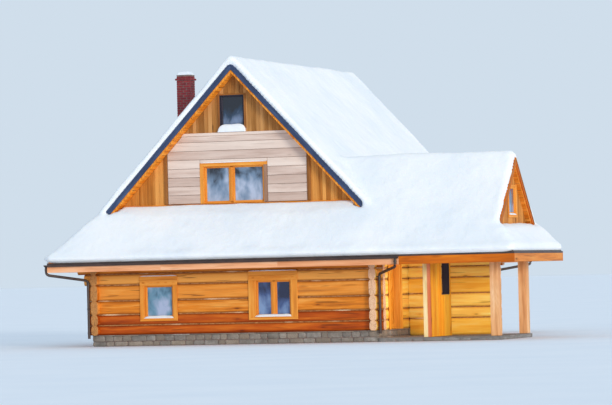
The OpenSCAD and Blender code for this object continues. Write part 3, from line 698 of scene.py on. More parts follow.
def log_run(S, axis, n0, n1, a, b, z0, z1, za, zb, seed, tone, shift, cap0, cap1, clips=(), wood_at=0):
    """One stretch of a log along axis from a to b; n0 is the outer wall face, n1 the inner."""
    L = b - a
    if L < 0.01 or zb - za < 0.01:
        return
    k = max(1, int(round(L / 0.32)))
    us = [a + L * i / k for i in range(k + 1)]
    ch = 0.012
    st = []
    if cap0:
        st += [(a, ch), (a + ch, 0.0)] + [(u, 0.0) for u in us[1:-1]]
    else:
        st += [(u, 0.0) for u in us[:-1]]
    st += [(b - ch, 0.0), (b, ch)] if cap1 else [(b, 0.0)]
    rings = []
    so = 1 if n1 > n0 else -1
    cz, cn = (za + zb) / 2, (n0 + n1) / 2
    for u, sh in st:
        pr = log_profile(z0, z1, za, zb, seed, u)
        pr2 = log_profile(z0, z1, za, zb, seed + 57, u)
        ring = [(n0 + so * o, z) for z, o in pr] + [(n1 - so * o, z) for z, o in reversed(pr2)]
        if sh:
            ring = [(n + (cn - n) / max(abs(cn - n), 1e-6) * sh, z + (cz - z) / max(abs(cz - z), 1e-6) * min(sh, abs(cz - z))) for n, z in ring]
        rings.append([((u, n, z) if axis == "x" else (n, u, z)) for n, z in ring])
    m = len(rings[0])
    vs = [p for r in rings for p in r]
    fs, mi, sm = [], [], []
    for i in range(len(rings) - 1):
        for j in range(m):
            j2 = (j + 1) % m
            fs.append([i * m + j, i * m + j2, (i + 1) * m + j2, (i + 1) * m + j])
            mi.append(1 if (cap0 and i == 0) or (cap1 and i == len(rings) - 2) else 0)
            sm.append(True)
    fs.append(list(range(m - 1, -1, -1)))
    mi.append(1)
    sm.append(False)
    fs.append([(len(rings) - 1) * m + j for j in range(m)])
    mi.append(1)
    sm.append(False)
    if clips:
        bm = bmesh.new()
        bv = [bm.verts.new(v) for v in vs]
        for f, q, s in zip(fs, mi, sm):
            x = bm.faces.new([bv[i] for i in f])
            x.material_index = q
            x.smooth = s
        bm.normal_update()
        for co, no in clips:
            g = bm.verts[:] + bm.edges[:] + bm.faces[:]
            r = bmesh.ops.bisect_plane(bm, geom=g, dist=1e-5, plane_co=co, plane_no=no, clear_outer=True)
            eds = [e for e in bm.edges if e.is_boundary]
            if eds:
                q = bmesh.ops.holes_fill(bm, edges=eds, sides=0)
                for f in q["faces"]:
                    f.material_index = 1
                    f.smooth = False
        bm.verts.index_update()
        vs = [tuple(v.co) for v in bm.verts]
        fs = [[v.index for v in f.verts] for f in bm.faces]
        mi = [f.material_index for f in bm.faces]
        sm = [f.smooth for f in bm.faces]
        bm.free()
        if not vs:
            return
    zc = (z0 + z1) / 2
    # nearness to the joint above or below, 1 at the joint: it sets the painted shade between the logs
    ed = [max(0.0, 1 - min(abs(v[2] - z0), abs(z1 - v[2])) / .09) for v in vs]
    if wood_at or z0 < .7:
        mi = [(wood_at or 2) if q == 0 else q for q in mi]
    if axis == "x":
        S.add(vs, fs, origin=(0, cn, zc), axes=((1, 0, 0), (0, 1, 0), (0, 0, 1)), tone=tone, mats=mi, smooth=sm, shift=shift, edge=ed)
    else:
        S.add(vs, fs, origin=(cn, 0, zc), axes=((0, 1, 0), (1, 0, 0), (0, 0, 1)), tone=tone, mats=mi, smooth=sm, shift=shift, edge=ed)


# undersides of the four main roof slopes, as (point, outward normal)
UNDER_L = (Vector((-E, 0, EAVE - ROOF_T)), Vector((-T, 0, 1)).normalized())
UNDER_R = (Vector((E, 0, EAVE - ROOF_T)), Vector((T, 0, 1)).normalized())
UNDER_F = (Vector((0, F, EAVE - ROOF_T)), Vector((0, -T, 1)).normalized())
UNDER_B = (Vector((0, B, EAVE - ROOF_T)), Vector((0, T, 1)).normalized())


# Tone of each log course from the bottom; the three top courses, from 2.24 m up, are kept dark: painted shade under the
# eaves.
COURSE_TONE_EAVE_SHADE = [.45, .24, .56, .70, 1.0, .44, .28, .36]


def log_wall(S, axis, n0, n1, ends, windows, zlow=None, seed=1, clip_lo=(), clip_hi=(), split=None):
    """ends(i) gives (a, b, free end at a, free end at b) of log i; windows = (mid, half width, z0, z1).
    Before split the wood takes material 3, the brighter log wood with painted sunlight."""
    for i in range(8):
        z0, z1 = LEVELS[i], LEVELS[i + 1]
        if zlow is not None:
            if z1 <= zlow + .01:
                continue
        a, b, fa, fb = ends(i)
        if b - a < .05:
            continue
        lo = max(z0, zlow or 0)
        rnd = random.Random(seed * 100 + i)
        tone, shift = min(1, max(0, COURSE_TONE_EAVE_SHADE[i] + (rnd.uniform(-.3, .3) if seed > 1 else 0))), rnd.uniform(-30, 30)
        cuts = sorted({a, b} | ({split} if split else set()) | {c for w in windows if w[3] > lo and w[2] < z1 for c in (w[0] - w[1], w[0] + w[1]) if a < c < b})
        for u0, u1 in zip(cuts, cuts[1:]):
            mid = (u0 + u1) / 2
            zs = [(lo, z1)]
            for w in windows:
                if w[0] - w[1] < mid < w[0] + w[1]:
                    nz = []
                    for q0, q1 in zs:
                        if w[2] > q0 + .01:
                            nz.append((q0, min(q1, w[2])))
                        if w[3] < q1 - .01:
                            nz.append((max(q0, w[3]), q1))
                    if not (w[3] <= lo or w[2] >= z1):
                        zs = nz
            for q0, q1 in zs:
                clips = []
                if u0 == a and clip_lo:
                    clips += list(clip_lo)
                if u1 == b and clip_hi:
                    clips += list(clip_hi)
                log_run(S, axis, n0, n1, u0, u1, z0, z1, q0, q1, seed * 10 + i, tone, shift, fa and u0 == a, fb and u1 == b, clips, 3 if split and mid < split else 0)


def holes(ws):
    return [(w[0], w[1] / 2 + SASH - .005, w[2] - SASH + .005, w[3] + SASH - .005) for w in ws]


def make_log_walls():
    front = Solids(11)
    log_wall(front, "x", 0.0, WALL_T,
             lambda i: (-(HW + LOG_END + BRACKET[i]), HW + LOG_END if i < 6 else HW - .005, True, i < 6),
             holes(FRONT_W), seed=1, clip_lo=[UNDER_L])
    front.obj("front_log_wall", [m_log, m_log_end, m_log_base], replaces=["front_wall"], angle=34)
    rear = Solids(12)
    log_wall(rear, "x", D, D - WALL_T,
             lambda i: (-(HW + LOG_END + BRACKET[i]), HW + LOG_END + BRACKET[i], True, True),
             holes(REAR_W), seed=2, clip_lo=[UNDER_L], clip_hi=[UNDER_R])
    rear.obj("rear_log_wall", [m_log, m_log_end, m_log_base], replaces=["rear_wall"], angle=34)
    left = Solids(13)
    log_wall(left, "y", -HW, -HW + WALL_T,
             lambda i: (-(LOG_END + SIDE_BRACKET[i]), D + LOG_END + SIDE_BRACKET[i], True, True),
             holes(LEFT_W), seed=3, clip_lo=[UNDER_F], clip_hi=[UNDER_B])
    left.obj("left_log_wall", [m_log, m_log_end_warm, m_log_base], replaces=["left_wall"], angle=34)
    rf = Solids(14)
    log_wall(rf, "y", HW, HW - WALL_T,
             lambda i: (-(LOG_END + SIDE_BRACKET[i]), DX, True, False),
             [], seed=4, clip_lo=[UNDER_F])
    rf.obj("right_log_wall_front", [m_log_painted_sun, m_log_end, m_log_painted_sun], replaces=["right_wall_front"], angle=34)
    ro = Solids(15)
    log_wall(ro, "y", HW, HW - WALL_T, lambda i: (DX, DY, False, False), [], zlow=DTOP, seed=4)
    ro.obj("right_log_wall_over_door", [m_log_painted_sun, m_log_end, m_log_base], replaces=["right_wall_over_door"], angle=34)
    rr = Solids(16)
    log_wall(rr, "y", HW, HW - WALL_T,
             lambda i: (DY, D + LOG_END + SIDE_BRACKET[i], False, True),
             holes(RIGHT_W), seed=4, clip_hi=[UNDER_B], split=WWALL - .12)
    rr.obj("right_log_wall_rear", [m_log, m_log_end, m_log_base, m_log_painted_sun], replaces=["right_wall_rear"], angle=34)
    pb = Solids(17)
    lv = [PF] + LEVELS[1:7]
    for i in range(6):
        rnd = random.Random(700 + i)
        log_run(pb, "x", WWALL, WWALL - WALL_T, HW + .021 if lv[i] < PLY else HW, 7.62, lv[i], lv[i + 1], lv[i], lv[i + 1], 70 + i, rnd.random(), rnd.uniform(-30, 30), False, True)
    o = pb.obj("porch_rear_log_wall", [m_log_painted_sun, m_log_end, m_log_painted_sun, m_log, m_log_base], replaces=["porch_back_wall"], angle=34)
    # The back wall's rear face takes the plain log wood; its face inside the porch keeps the copy with painted
    # sunlight.
    for f in o.data.polygons:
        if f.center.y > WWALL - WALL_T / 2 + OY and f.material_index != 1:
            f.material_index = {0: 3, 2: 4}.get(f.material_index, f.material_index)


make_log_walls()


# ---------------------------------------------------------------- caulking rope
def rope(S, axis, n, a, b, z, out, skip=()):
    """Twisted caulking along a joint, from a to b, on the face at n; out is its outward sign."""
    parts = [(a, b)]
    for s0, s1 in skip:
        parts = [q for p in parts for q in ((p[0], min(p[1], s0)), (max(p[0], s1), p[1])) if q[1] - q[0] > .06]
    r0 = 0.020
    for p0, p1 in parts:
        k = max(2, int((p1 - p0) / 0.034))
        vs, fs = [], []
        ph = S.r.uniform(0, 6)
        for i in range(k + 1):
            u = p0 + (p1 - p0) * i / k
            for j in range(5):
                an = math.radians(-90 + 45 * j)
                r = r0 * (1 + 0.22 * math.sin(2 * math.pi * u / 0.115 + 1.15 * j + ph))
                nn = n - out * 0.046 + out * math.cos(an) * r
                zz = z + math.sin(an) * r
                vs.append((u, nn, zz) if axis == "x" else (nn, u, zz))
            vs.append((u, n - out * 0.07, z) if axis == "x" else (n - out * 0.07, u, z))
        for i in range(k):
            for j in range(6):
                j2 = (j + 1) % 6
                fs.append([i * 6 + j, i * 6 + j2, (i + 1) * 6 + j2, (i + 1) * 6 + j])
        fs.append([5, 4, 3, 2, 1, 0])
        fs.append([k * 6 + j for j in range(6)])
        ax = ((1, 0, 0), (0, 1, 0), (0, 0, 1)) if axis == "x" else ((0, 1, 0), (1, 0, 0), (0, 0, 1))
        S.add(vs, fs, origin=((0, n, z) if axis == "x" else (n, 0, z)), axes=ax, smooth=True)


def window_skips(ws, z, m=0.0):
    out = []
    for w in ws:
        top = w[3] + SASH + .28
        bot = w[2] - SASH - .09
        if bot - .03 < z < top + .03:
            h = w[1] / 2 + SASH + w[4] - .01
            out.append((w[0] - h, w[0] + h))
    return out


def make_ropes():
    S = Solids(31)
    for z in LEVELS[1:-1]:
        rope(S, "x", 0.0, -HW - .16, HW + (.16 if z < 2.6 else -.02), z, -1, window_skips(FRONT_W, z))
        rope(S, "x", D, -HW - .16, HW + .16, z, 1, window_skips(REAR_W, z))
    S.obj("caulking_front_and_rear", [m_rope])
    S = Solids(32)
    for z in LEVELS[1:-1]:
        rope(S, "y", -HW, -.16, D + .16, z, -1, window_skips(LEFT_W, z))
        door = [(DX - .12, DY + .12)] if z < DTOP + .16 else []
        rope(S, "y", HW, -.16, D + .16, z, 1, window_skips(RIGHT_W, z) + door + ([(WWALL - .24, WWALL)] if z < 2.6 else []))
    for z in LEVELS[1:6]:
        rope(S, "x", WWALL, HW, 7.6, z, 1)
        rope(S, "x", WWALL - WALL_T, HW, 7.6, z, -1)
    S.obj("caulking_sides_and_porch", [m_rope])


make_ropes()

# ---------------------------------------------------------------- stone plinth and porch floor
def stones(S, u0, u1, z0, z1, to3d, seed, hmin=.11, hmax=.17, wmin=.2, wmax=.5, bulge=.012, depth=.08, rows=None):
    """Rough coursed fieldstone on a flat face."""
    r = random.Random(seed)
    n = rows or max(1, int(round((z1 - z0) / ((hmin + hmax) / 2))))
    zs = [z0 + (z1 - z0) * (i + (r.uniform(-.12, .12) if 0 < i < n else 0)) / n for i in range(n + 1)]
    for i in range(n):
        u = u0
        while u < u1 - 1e-6:
            w = r.uniform(wmin, wmax)
            if u1 - (u + w) < wmin * .8:
                w = u1 - u
            a0, a1, b0, b1 = u, u + w, zs[i], zs[i + 1]
            j = .012
            c = min(.035, w * .2, (b1 - b0) * .3)
            g = .006
            pts = [(a0 + c, b0 + g), (a1 - c, b0 + g), (a1 - g, b0 + c), (a1 - g, b1 - c), (a1 - c, b1 - g), (a0 + c, b1 - g), (a0 + g, b1 - c), (a0 + g, b0 + c)]
            pts = [(p[0] + r.uniform(-j, j) * .5, p[1] + r.uniform(-j, j) * .4) for p in pts]
            cu, cv = (a0 + a1) / 2, (b0 + b1) / 2
            rings = []
            rec = r.uniform(0.0, .012)
            for k, nn in ((1.0, depth), (1.0, .018 + rec), (.93, .006 + rec), (.72, rec)):
                rings.append([to3d(cu + (p[0] - cu) * k, cv + (p[1] - cv) * k, nn + (r.uniform(0, .004) if k < .9 else 0)) for p in pts])
            vs = [p for q in rings for p in q]
            m = 8
            fs = [list(range(m))[::-1], [3 * m + q for q in range(m)]]
            for q in range(3):
                for e in range(m):
                    fs.append([q * m + e, q * m + (e + 1) % m, (q + 1) * m + (e + 1) % m, (q + 1) * m + e])
            S.add(vs, fs, origin=to3d(cu, cv, 0), smooth=True)
            u += w


def make_base():
    P = HW + .02
    S = Solids(41)
    # mortar core, a little behind the stones, and the stones round it
    cbox(S, -P + .03, P - .03, -.02 + .03, D + .02 - .03, 0.0, PLY, .002, mats=1)
    stones(S, -P, P, .005, PLY - .03, lambda u, v, n: (u, -.02 + n, v), 1)
    stones(S, -P, P, .005, PLY - .03, lambda u, v, n: (u, D + .02 - n, v), 2)
    stones(S, -.02, D + .02, .005, PLY - .03, lambda u, v, n: (-P + n, u, v), 3)
    stones(S, -.02, D + .02, .005, PLY - .03, lambda u, v, n: (P - n, u, v), 4)
    # cap course under the logs
    r = random.Random(5)
    for (a, b, f) in ((-P, P, 0), (-P, P, 1), (-.02, D + .02, 2), (-.02, D + .02, 3)):
        u = a
        while u < b - 1e-6:
            w = r.uniform(.5, .9)
            if b - (u + w) < .4:
                w = b - u
            if f == 0:
                cbox(S, u + .003, u + w - .003, -.02, .3, PLY - .034, PLY - .001, .008)
            elif f == 1:
                cbox(S, u + .003, u + w - .003, D - .3, D + .02, PLY - .034, PLY - .001, .008)
            elif f == 2:
                cbox(S, -P, -P + .3, u + .003, u + w - .003, PLY - .034, PLY - .001, .008)
            else:
                cbox(S, P - .3, P, u + .003, u + w - .003, PLY - .034, PLY - .001, .008)
            u += w
    S.obj("fieldstone_plinth", [m_stone, m_mortar], angle=50, replaces=["stone_plinth"])
    # porch floor: flagstones on a mortar bed
    S = Solids(42)
    x0, x1, y0, y1 = P, WGX + .06, -.08, WWALL + .08
    cbox(S, x0 + .02, x1 - .02, y0 + .02, y1 - .02, 0.0, PF - .012, .002, mats=1)
    stones(S, x0, x1, .0, PF - .03, lambda u, v, n: (u, y0 + n, v), 6, rows=1, wmin=.3, wmax=.6)
    stones(S, x0, x1, .0, PF - .03, lambda u, v, n: (u, y1 - n, v), 7, rows=1, wmin=.3, wmax=.6)
    stones(S, y0, y1, .0, PF - .03, lambda u, v, n: (x1 - n, u, v), 8, rows=1, wmin=.3, wmax=.6)
    r = random.Random(9)
    y = y0
    while y < y1 - 1e-6:
        h = r.uniform(.42, .62)
        if y1 - (y + h) < .35:
            h = y1 - y
        x = x0
        while x < x1 - 1e-6:
            w = r.uniform(.45, .95)
            if x1 - (x + w) < .4:
                w = x1 - x
            j = lambda: r.uniform(-.01, .01)
            q = [(x + .007, y + .007), (x + w - .007, y + .007), (x + w - .007, y + h - .007), (x + .007, y + h - .007)]
            if x > x0 and x + w < x1 and y > y0 and y + h < y1:
                q = [(p[0] + j() * .6, p[1] + j() * .6) for p in q]
            top = PF - r.uniform(0, .003)
            plate(S, q, lambda u, v, n: (u, v, top - n), .05, .007)
            x += w
        y += h
    S.obj("porch_flagstones", [m_paving, m_mortar], angle=40, replaces=["porch_floor"])


make_base()


# ---------------------------------------------------------------- boarded gables
def wood_gable():
    """Boarded gables: a frame wall with window openings and boards in front of it."""
    for name, yface, s, wl in (("front", GF, 1, GABLE_W), ("rear", GB, -1, GABLE_W)):
        S = Solids(51 if s > 0 else 52)
        under = lambda p, c=0.001: clip_poly(clip_poly(p, T, 1, RIDGE - ROOF_T - c), -T, 1, RIDGE - ROOF_T - c)
        hs = [(w[0] - w[1] / 2 - SASH, w[0] + w[1] / 2 + SASH, w[2] - SASH, w[3] + SASH) for w in wl]
        tof = lambda u, v, n: (u, yface + s * n, v)
        # frame wall behind the boards
        rects = [(-HW + WALL_T, HW - WALL_T, 3.20, RIDGE)]
        for h in hs:
            rects = [q for r in rects for q in around_hole(r, h)]
        for r in rects:
            p = under([(r[0], r[2]), (r[1], r[2]), (r[1], r[3]), (r[0], r[3])])
            if len(p) > 2:
                plate(S, p, tof, .2, .002, back=.024, mats=1, tone=.5)
        # upright boards: below the panel's sides and in the attic triangle, where they take the darker copy of the
        # boards, painted shade
        x, k = -HW + WALL_T, 0
        rb = random.Random(53 + s)
        while x < HW - WALL_T:
            w = rb.choice((.118, .132, .146))
            x1 = min(x + w, HW - WALL_T)
            z0 = 3.95 if abs((x + x1) / 2) > 2.3 + .02 else 6.42
            parts = [(x, x1, z0, RIDGE)]
            for h in hs:
                parts = [q for r in parts for q in around_hole(r, h)]
            tone = rb.random()
            for r in parts:
                if r[1] - r[0] < .02 or r[3] - r[2] < .02:
                    continue
                p = under([(r[0], r[2]), (r[1], r[2]), (r[1], r[3]), (r[0], r[3])], .002)
                if len(p) > 2:
                    plate(S, p, tof, .024, .006, grain=(0, 1), tone=tone, gap=.0015, mats=2 if z0 > 6 else 0)
            x = x1
        S.obj(name + "_gable_boarding", [m_gable, m_dark_trim, m_gable_attic_shaded], replaces=[name + "_gable"])
    # the wing's gable
    S = Solids(54)
    w = WING_W[0]
    h = (w[0] - w[1] / 2 - SASH, w[0] + w[1] / 2 + SASH, w[2] - SASH, w[3] + SASH)
    under = lambda p, c=0.001: clip_poly(clip_poly(p, T, 1, WRIDGE - ROOF_T - c + T * WM), -T, 1, WRIDGE - ROOF_T - c - T * WM)
    tof = lambda u, v, n: (WGX - n, u, v)
    for r in around_hole((WALL_T, WWALL - WALL_T, 3.10, WRIDGE), h):
        p = under([(r[0], r[2]), (r[1], r[2]), (r[1], r[3]), (r[0], r[3])])
        if len(p) > 2:
            plate(S, p, tof, .2, .002, back=.024, mats=1, tone=.5)
    y = WALL_T
    rb = random.Random(59)
    while y < WWALL - WALL_T - 1e-6:
        wd = rb.choice((.118, .132, .146))
        y1 = min(y + wd, WWALL - WALL_T)
        tone = rb.random()
        for r in around_hole((y, y1, 3.105, WRIDGE), h):
            if r[1] - r[0] < .02 or r[3] - r[2] < .02:
                continue
            p = under([(r[0], r[2]), (r[1], r[2]), (r[1], r[3]), (r[0], r[3])], .002)
            if len(p) > 2:
                plate(S, p, tof, .024, .006, grain=(0, 1), tone=tone, gap=.0015)
        y = y1
    S.obj("wing_gable_boarding", [m_gable, m_dark_trim], replaces=["wing_gable"])
    # pale level boards between the posts
    S = Solids(55)
    PX, PZ = 2.30, 6.46
    for yface, s in ((GF, 1), (GB, -1)):
        tof = lambda u, v, n: (u, yface + s * n, v)
        w = GABLE_W[0]
        h = (w[0] - w[1] / 2 - SASH - w[4], w[0] + w[1] / 2 + SASH + w[4], w[2] - .5, w[3] + SASH + .10)
        z = ztop(1.63) + .012
        rb = random.Random(56 + s)
        while z < PZ - .01:
            z1 = min(z + .272, PZ)
            if PZ - z1 < .1:
                z1 = PZ
            tone = rb.random()
            for r in around_hole((-PX, PX, z, z1), h):
                if r[1] - r[0] < .02 or r[3] - r[2] < .02:
                    continue
                p = clip_poly(clip_poly([(r[0], r[2]), (r[1], r[2]), (r[1], r[3]), (r[0], r[3])], T, 1, RIDGE - ROOF_T - .002), -T, 1, RIDGE - ROOF_T - .002)
                if len(p) > 2:
                    plate(S, p, tof, 0.0, .012, back=-.020, grain=(1, 0), tone=tone, gap=.004)
            z = z1
    S.obj("pale_gable_boards", [m_pale], replaces=["gable_panels"])
    # dark posts and rail that frame them
    S = Solids(57)
    for y0, y1 in ((GF - .045, GF), (GB, GB + .045)):
        face = y0 if y0 < 5 else y1
        s = 1 if y0 < 5 else -1
        tof = lambda u, v, n: (u, face + s * n, v)
        for a in (-2.41, 2.30):
            p = clip_poly(clip_poly([(a, ztop(1.63) + .012), (a + .11, ztop(1.63) + .012), (a + .11, 7.0), (a, 7.0)], T, 1, RIDGE - ROOF_T - .002), -T, 1, RIDGE - ROOF_T - .002)
            plate(S, p, tof, .045, .006, grain=(0, 1))
        p = clip_poly(clip_poly([(-2.3, 6.46), (2.3, 6.46), (2.3, 6.55), (-2.3, 6.55)], T, 1, RIDGE - ROOF_T - .002), -T, 1, RIDGE - ROOF_T - .002)
        plate(S, p, tof, .045, .006, grain=(1, 0), mats=1)
    S.obj("gable_frame_trim", [m_post_trim, m_pale], replaces=["gable_posts"])


wood_gable()


# ---------------------------------------------------------------- windows
def place(kind, u, n0):
    """Matrix from window axes (x across, y into the wall, z up) to the house frame."""
    if kind == "front":
        return Matrix.Translation((u, n0, 0))
    if kind == "rear":
        return Matrix.Translation((u, n0, 0)) @ Matrix.Rotation(math.pi, 4, "Z")
    if kind == "left":
        return Matrix.Translation((n0, u, 0)) @ Matrix.Rotation(-math.pi / 2, 4, "Z")
    return Matrix.Translation((n0, u, 0)) @ Matrix.Rotation(math.pi / 2, 4, "Z")


def window(S, M, w, top, below, style="log", cm=0):
    """Casing boards, sill, lintel board, liner, sash bars with glazing beads."""
    _, wd, zs, zh, cas, mull, moff = w
    a = wd / 2
    b = a + SASH
    c = b + cas
    z0, z1 = zs - SASH, zh + SASH
    sm = 4 if style == "attic" else 0
    bx = lambda *p, **k: cbox(S, *p, M=M, **k)
    # liner
    bx(-b, -b + .022, -.012, .12, z0, z1, c=.002, grain=2, mats=sm)
    bx(b - .022, b, -.012, .12, z0, z1, c=.002, grain=2, mats=sm)
    bx(-b + .022, b - .022, -.012, .12, z1 - .022, z1, c=.002, grain=0, mats=sm)
    bx(-b + .022, b - .022, -.012, .12, z0, z0 + .022, c=.002, grain=0, mats=sm)
    # casing boards
    bx(-c, -b + .004, -.030, .0, z0 - max(below - .03, 0), z1, c=.006, grain=2, mats=cm)
    # the gable windows' right casing board takes the greyer trim wood
    bx(b - .004, c, -.030, .0, z0 - max(below - .03, 0), z1, c=.006, grain=2, mats=1 if style == "gable" else cm)
    if top > .2:
        # a lintel board with a carved lower edge: two boards, the upper one proud
        bx(-c, c, -.030, .0, z1, z1 + top * .55, c=.006, grain=0)
        bx(-c, c, -.035, .0, z1 + top * .55 + .003, z1 + top, c=.006, grain=0)
        k = 5
        for i in range(k):
            cx = -c + 2 * c * (i + .5) / k
            bx(cx - .045, cx + .045, -.035, -.029, z1 + top * .20, z1 + top * .36, c=.003, grain=0)
    else:
        bx(-c, c, -.033, .0, z1, z1 + top, c=.006, grain=0, mats=cm)
    if below > .02:
        bx(-c, c, -.035, .0, z0 - below, z0 - .03, c=.006, grain=0, mats=3 if cm == 2 else 0)
        bx(-b - .03, b + .03, -.035, .03, z0 - .03, z0, c=.006, grain=0)
    dy = .045 if style == "wing" else 0.0

    def sash(x0, x1):
        t = .048
        for y0, y1 in ((.06 - dy, .112 - dy),):
            bx(x0, x0 + t, y0, y1, zs - .045, zh + .045, c=.007, grain=2, mats=sm)
            bx(x1 - t, x1, y0, y1, zs - .045, zh + .045, c=.007, grain=2, mats=sm)
            bx(x0 + t, x1 - t, y0, y1, zh + .045 - t, zh + .045, c=.007, grain=0, mats=sm)
            bx(x0 + t, x1 - t, y0, y1, zs - .045, zs - .045 + t + .012, c=.007, grain=0, mats=sm)
        # glazing beads
        for q in ((x0 + t, x0 + t + .012), (x1 - t - .012, x1 - t)):
            bx(q[0], q[1], .076 - dy, .09 - dy, zs + .004, zh - .004, c=.004, grain=2, mats=sm)
    if mull:
        bx(moff - .05, moff + .05, .032, .115, zs - .02, zh + .02, c=.009, grain=2)
        sash(-a - .037, moff - .045)
        sash(moff + .045, a + .037)
        bx(moff - .02, moff + .02, .022, .034, zs - .01, zh + .01, c=.006, grain=2)
    else:
        sash(-a - .037, a + .037)


def make_windows():
    S = Solids(61)
    for w in FRONT_W:
        window(S, place("front", w[0], 0.0), w, .28, .09)
    S.obj("front_window_joinery", [m_trim, m_trim_grey], replaces=["front_windows"])
    S = Solids(62)
    for w in REAR_W:
        window(S, place("rear", w[0], D), w, .28, .09)
    S.obj("rear_window_joinery", [m_trim, m_trim_grey], replaces=["rear_windows"])
    S = Solids(63)
    for w in LEFT_W:
        window(S, place("left", w[0], -HW), w, .28, .09)
    S.obj("left_window_joinery", [m_trim, m_trim_grey], replaces=["left_windows"])
    S = Solids(64)
    for w in RIGHT_W:
        window(S, place("right", w[0], HW), w, .28, .09)
    S.obj("right_window_joinery", [m_trim, m_trim_grey], replaces=["right_windows"])
    S = Solids(65)
    for kind, n0 in (("front", GF), ("rear", GB)):
        window(S, place(kind, GABLE_W[0][0], n0), GABLE_W[0], .10, 0.0, "gable")
        window(S, place(kind, GABLE_W[1][0], n0), GABLE_W[1], .04, .09, "attic", 2)
    window(S, place("right", WM, WGX), WING_W[0], .05, .09, "wing")
    S.obj("gable_window_joinery", [m_trim, m_trim_grey, m_post_trim, m_pale, m_dark_sash_and_shade], replaces=["gable_windows"])


make_windows()


# ---------------------------------------------------------------- glass panes
def panes(S, M, w, mat, dy=0.0):
    a, m = w[1] / 2, w[6]
    for x0, x1 in (((-a - .01, m - .05), (m + .05, a + .01)) if w[5] else ((-a - .01, a + .01),)):
        cbox(S, x0, x1, .087 - dy, .095 - dy, w[2] - .01, w[3] + .01, c=.001, M=M, mats=mat)


def make_glass():
    S = Solids(71)
    for wl, kind, n0 in ((FRONT_W, "front", 0.0), (REAR_W, "rear", D), (LEFT_W, "left", -HW), (RIGHT_W, "right", HW)):
        for w in wl:
            panes(S, place(kind, w[0], n0), w, 0 if w[5] else 1)
    S.obj("ground_floor_panes", [m_glass_dark, m_glass_pale], replaces=["ground_floor_glass"])
    S = Solids(72)
    for kind, n0 in (("front", GF), ("rear", GB)):
        panes(S, place(kind, GABLE_W[0][0], n0), GABLE_W[0], 0)
        panes(S, place(kind, GABLE_W[1][0], n0), GABLE_W[1], 1)
    panes(S, place("right", WM, WGX), WING_W[0], 2, .045)
    S.obj("upper_panes", [m_glass_upper, m_glass_attic, m_glass_wing], replaces=["upper_glass"])


make_glass()


# ---------------------------------------------------------------- chimney
def make_chimney():
    S = Solids(81)
    cx, cy, h = -2.79, 3.60, .225
    cbox(S, cx - h + .008, cx + h - .008, cy - h + .008, cy + h - .008, PLY, 8.54, .002, mats=1)
    r = random.Random(82)
    z, k = 5.30, 0
    H, Lb, Wb, j = .065, .214, .1, .012
    while z + H < 8.38:
        for side in range(4):
            # two stretchers and a half each way round, bonded
            off = 0 if (k + side) % 2 else .112
            u = -h + off
            cells = []
            if off:
                cells.append((-h, -h + off - j / 2))
            while u < h - .02:
                e = min(u + .214, h)
                cells.append((u + j / 2 if u > -h else u, e - (j / 2 if e < h else 0)))
                u += .226
            for a, b in cells:
                if b - a < .03:
                    continue
                d0 = r.uniform(-.0015, .0015)
                n0, n1 = -h, -h + .09
                M = Matrix.Translation((cx, cy, 0)) @ Matrix.Rotation(side * math.pi / 2, 4, "Z")
                cbox(S, a, b, n0 + abs(d0), n1, z, z + H, .005, M=M)
        z += H + j
        k += 1
    # projecting cap: two courses and a slab
    for (z0, z1, o) in ((8.38, 8.44, .04), (8.44, 8.505, .0)):
        for side in range(4):
            M = Matrix.Translation((cx, cy, 0)) @ Matrix.Rotation(side * math.pi / 2, 4, "Z")
            q = h + o
            n = 3
            for i in range(n):
                a = -q + 2 * q * i / n
                cbox(S, a + .003, a + 2 * q / n - .003, -q, -q + .1, z0 + .002, z1 - .004, .005, M=M)
        cbox(S, cx - h - o + .012, cx + h + o - .012, cy - h - o + .012, cy + h + o - .012, z0, z1, .002, mats=1)
    cbox(S, cx - h, cx + h, cy - h, cy + h, 8.505, 8.56, .012, mats=1)
    cbox(S, cx - .09, cx + .09, cy - .09, cy + .09, 8.53, 8.5605, .002, mats=2)
    S.obj("brick_chimney", [m_brick, m_mortar, m_iron], replaces=["chimney"])


make_chimney()


# ---------------------------------------------------------------- porch screen of upright boards
def make_screen():
    S = Solids(91)
    x0, x1, YE = 6.12, 6.36, 2.08
    hole = (1.12, 1.96, 1.38, 2.50)
    r = random.Random(92)
    for face, s in ((x1, -1), (x0, 1)):
        y = 0.0
        while y < YE - 1e-6:
            w = r.choice((.15, .17, .19))
            y1 = y + w
            if YE - y1 < .1:
                y1 = YE
            tone = r.random()
            for q in around_hole((y, y1, PF, 2.64), hole):
                if q[1] - q[0] < .015:
                    continue
                plate(S, [(q[0], q[2]), (q[1], q[2]), (q[1], q[3]), (q[0], q[3])], lambda u, v, n: (face + s * n, u, v), .03, .006, grain=(0, 1), tone=tone, gap=.0015)
            y = y1
    for q in around_hole((0.0, YE, PF, 2.64), hole):
        cbox(S, x0 + .03, x1 - .03, q[0] + .03 if q[0] == 0 else q[0], q[1] - .03 if q[1] == YE else q[1], q[2], q[3], .002, grain=2, tone=.6)
    # corner posts, the board nearer the house pale as a painted highlight and the outer one red as painted shade, and a
    # frame round the opening lined near-black as painted shade
    cbox(S, x0, x0 + .13, .0, .03, PF, 2.64, .005, grain=2, mats=2)
    cbox(S, x0 + .133, x1, .0, .03, PF, 2.64, .005, grain=2, mats=3)
    cbox(S, x0, x1, YE - .03, YE, PF, 2.64, .004, grain=2)
    a0, a1, b0, b1 = hole
    for q in ((a0 - .001, a0 + .022, b0, b1), (a1 - .022, a1 + .001, b0, b1), (a0, a1, b0 - .001, b0 + .022), (a0, a1, b1 - .022, b1 + .001)):
        cbox(S, x0 + .002, x1 - .002, q[0], q[1], q[2], q[3], .003, mats=1)
    S.obj("porch_screen_boards", [m_screen, m_dark_sash_and_shade, m_screen_painted_highlight, m_screen_painted_shade], replaces=["porch_screen_wall"])


make_screen()


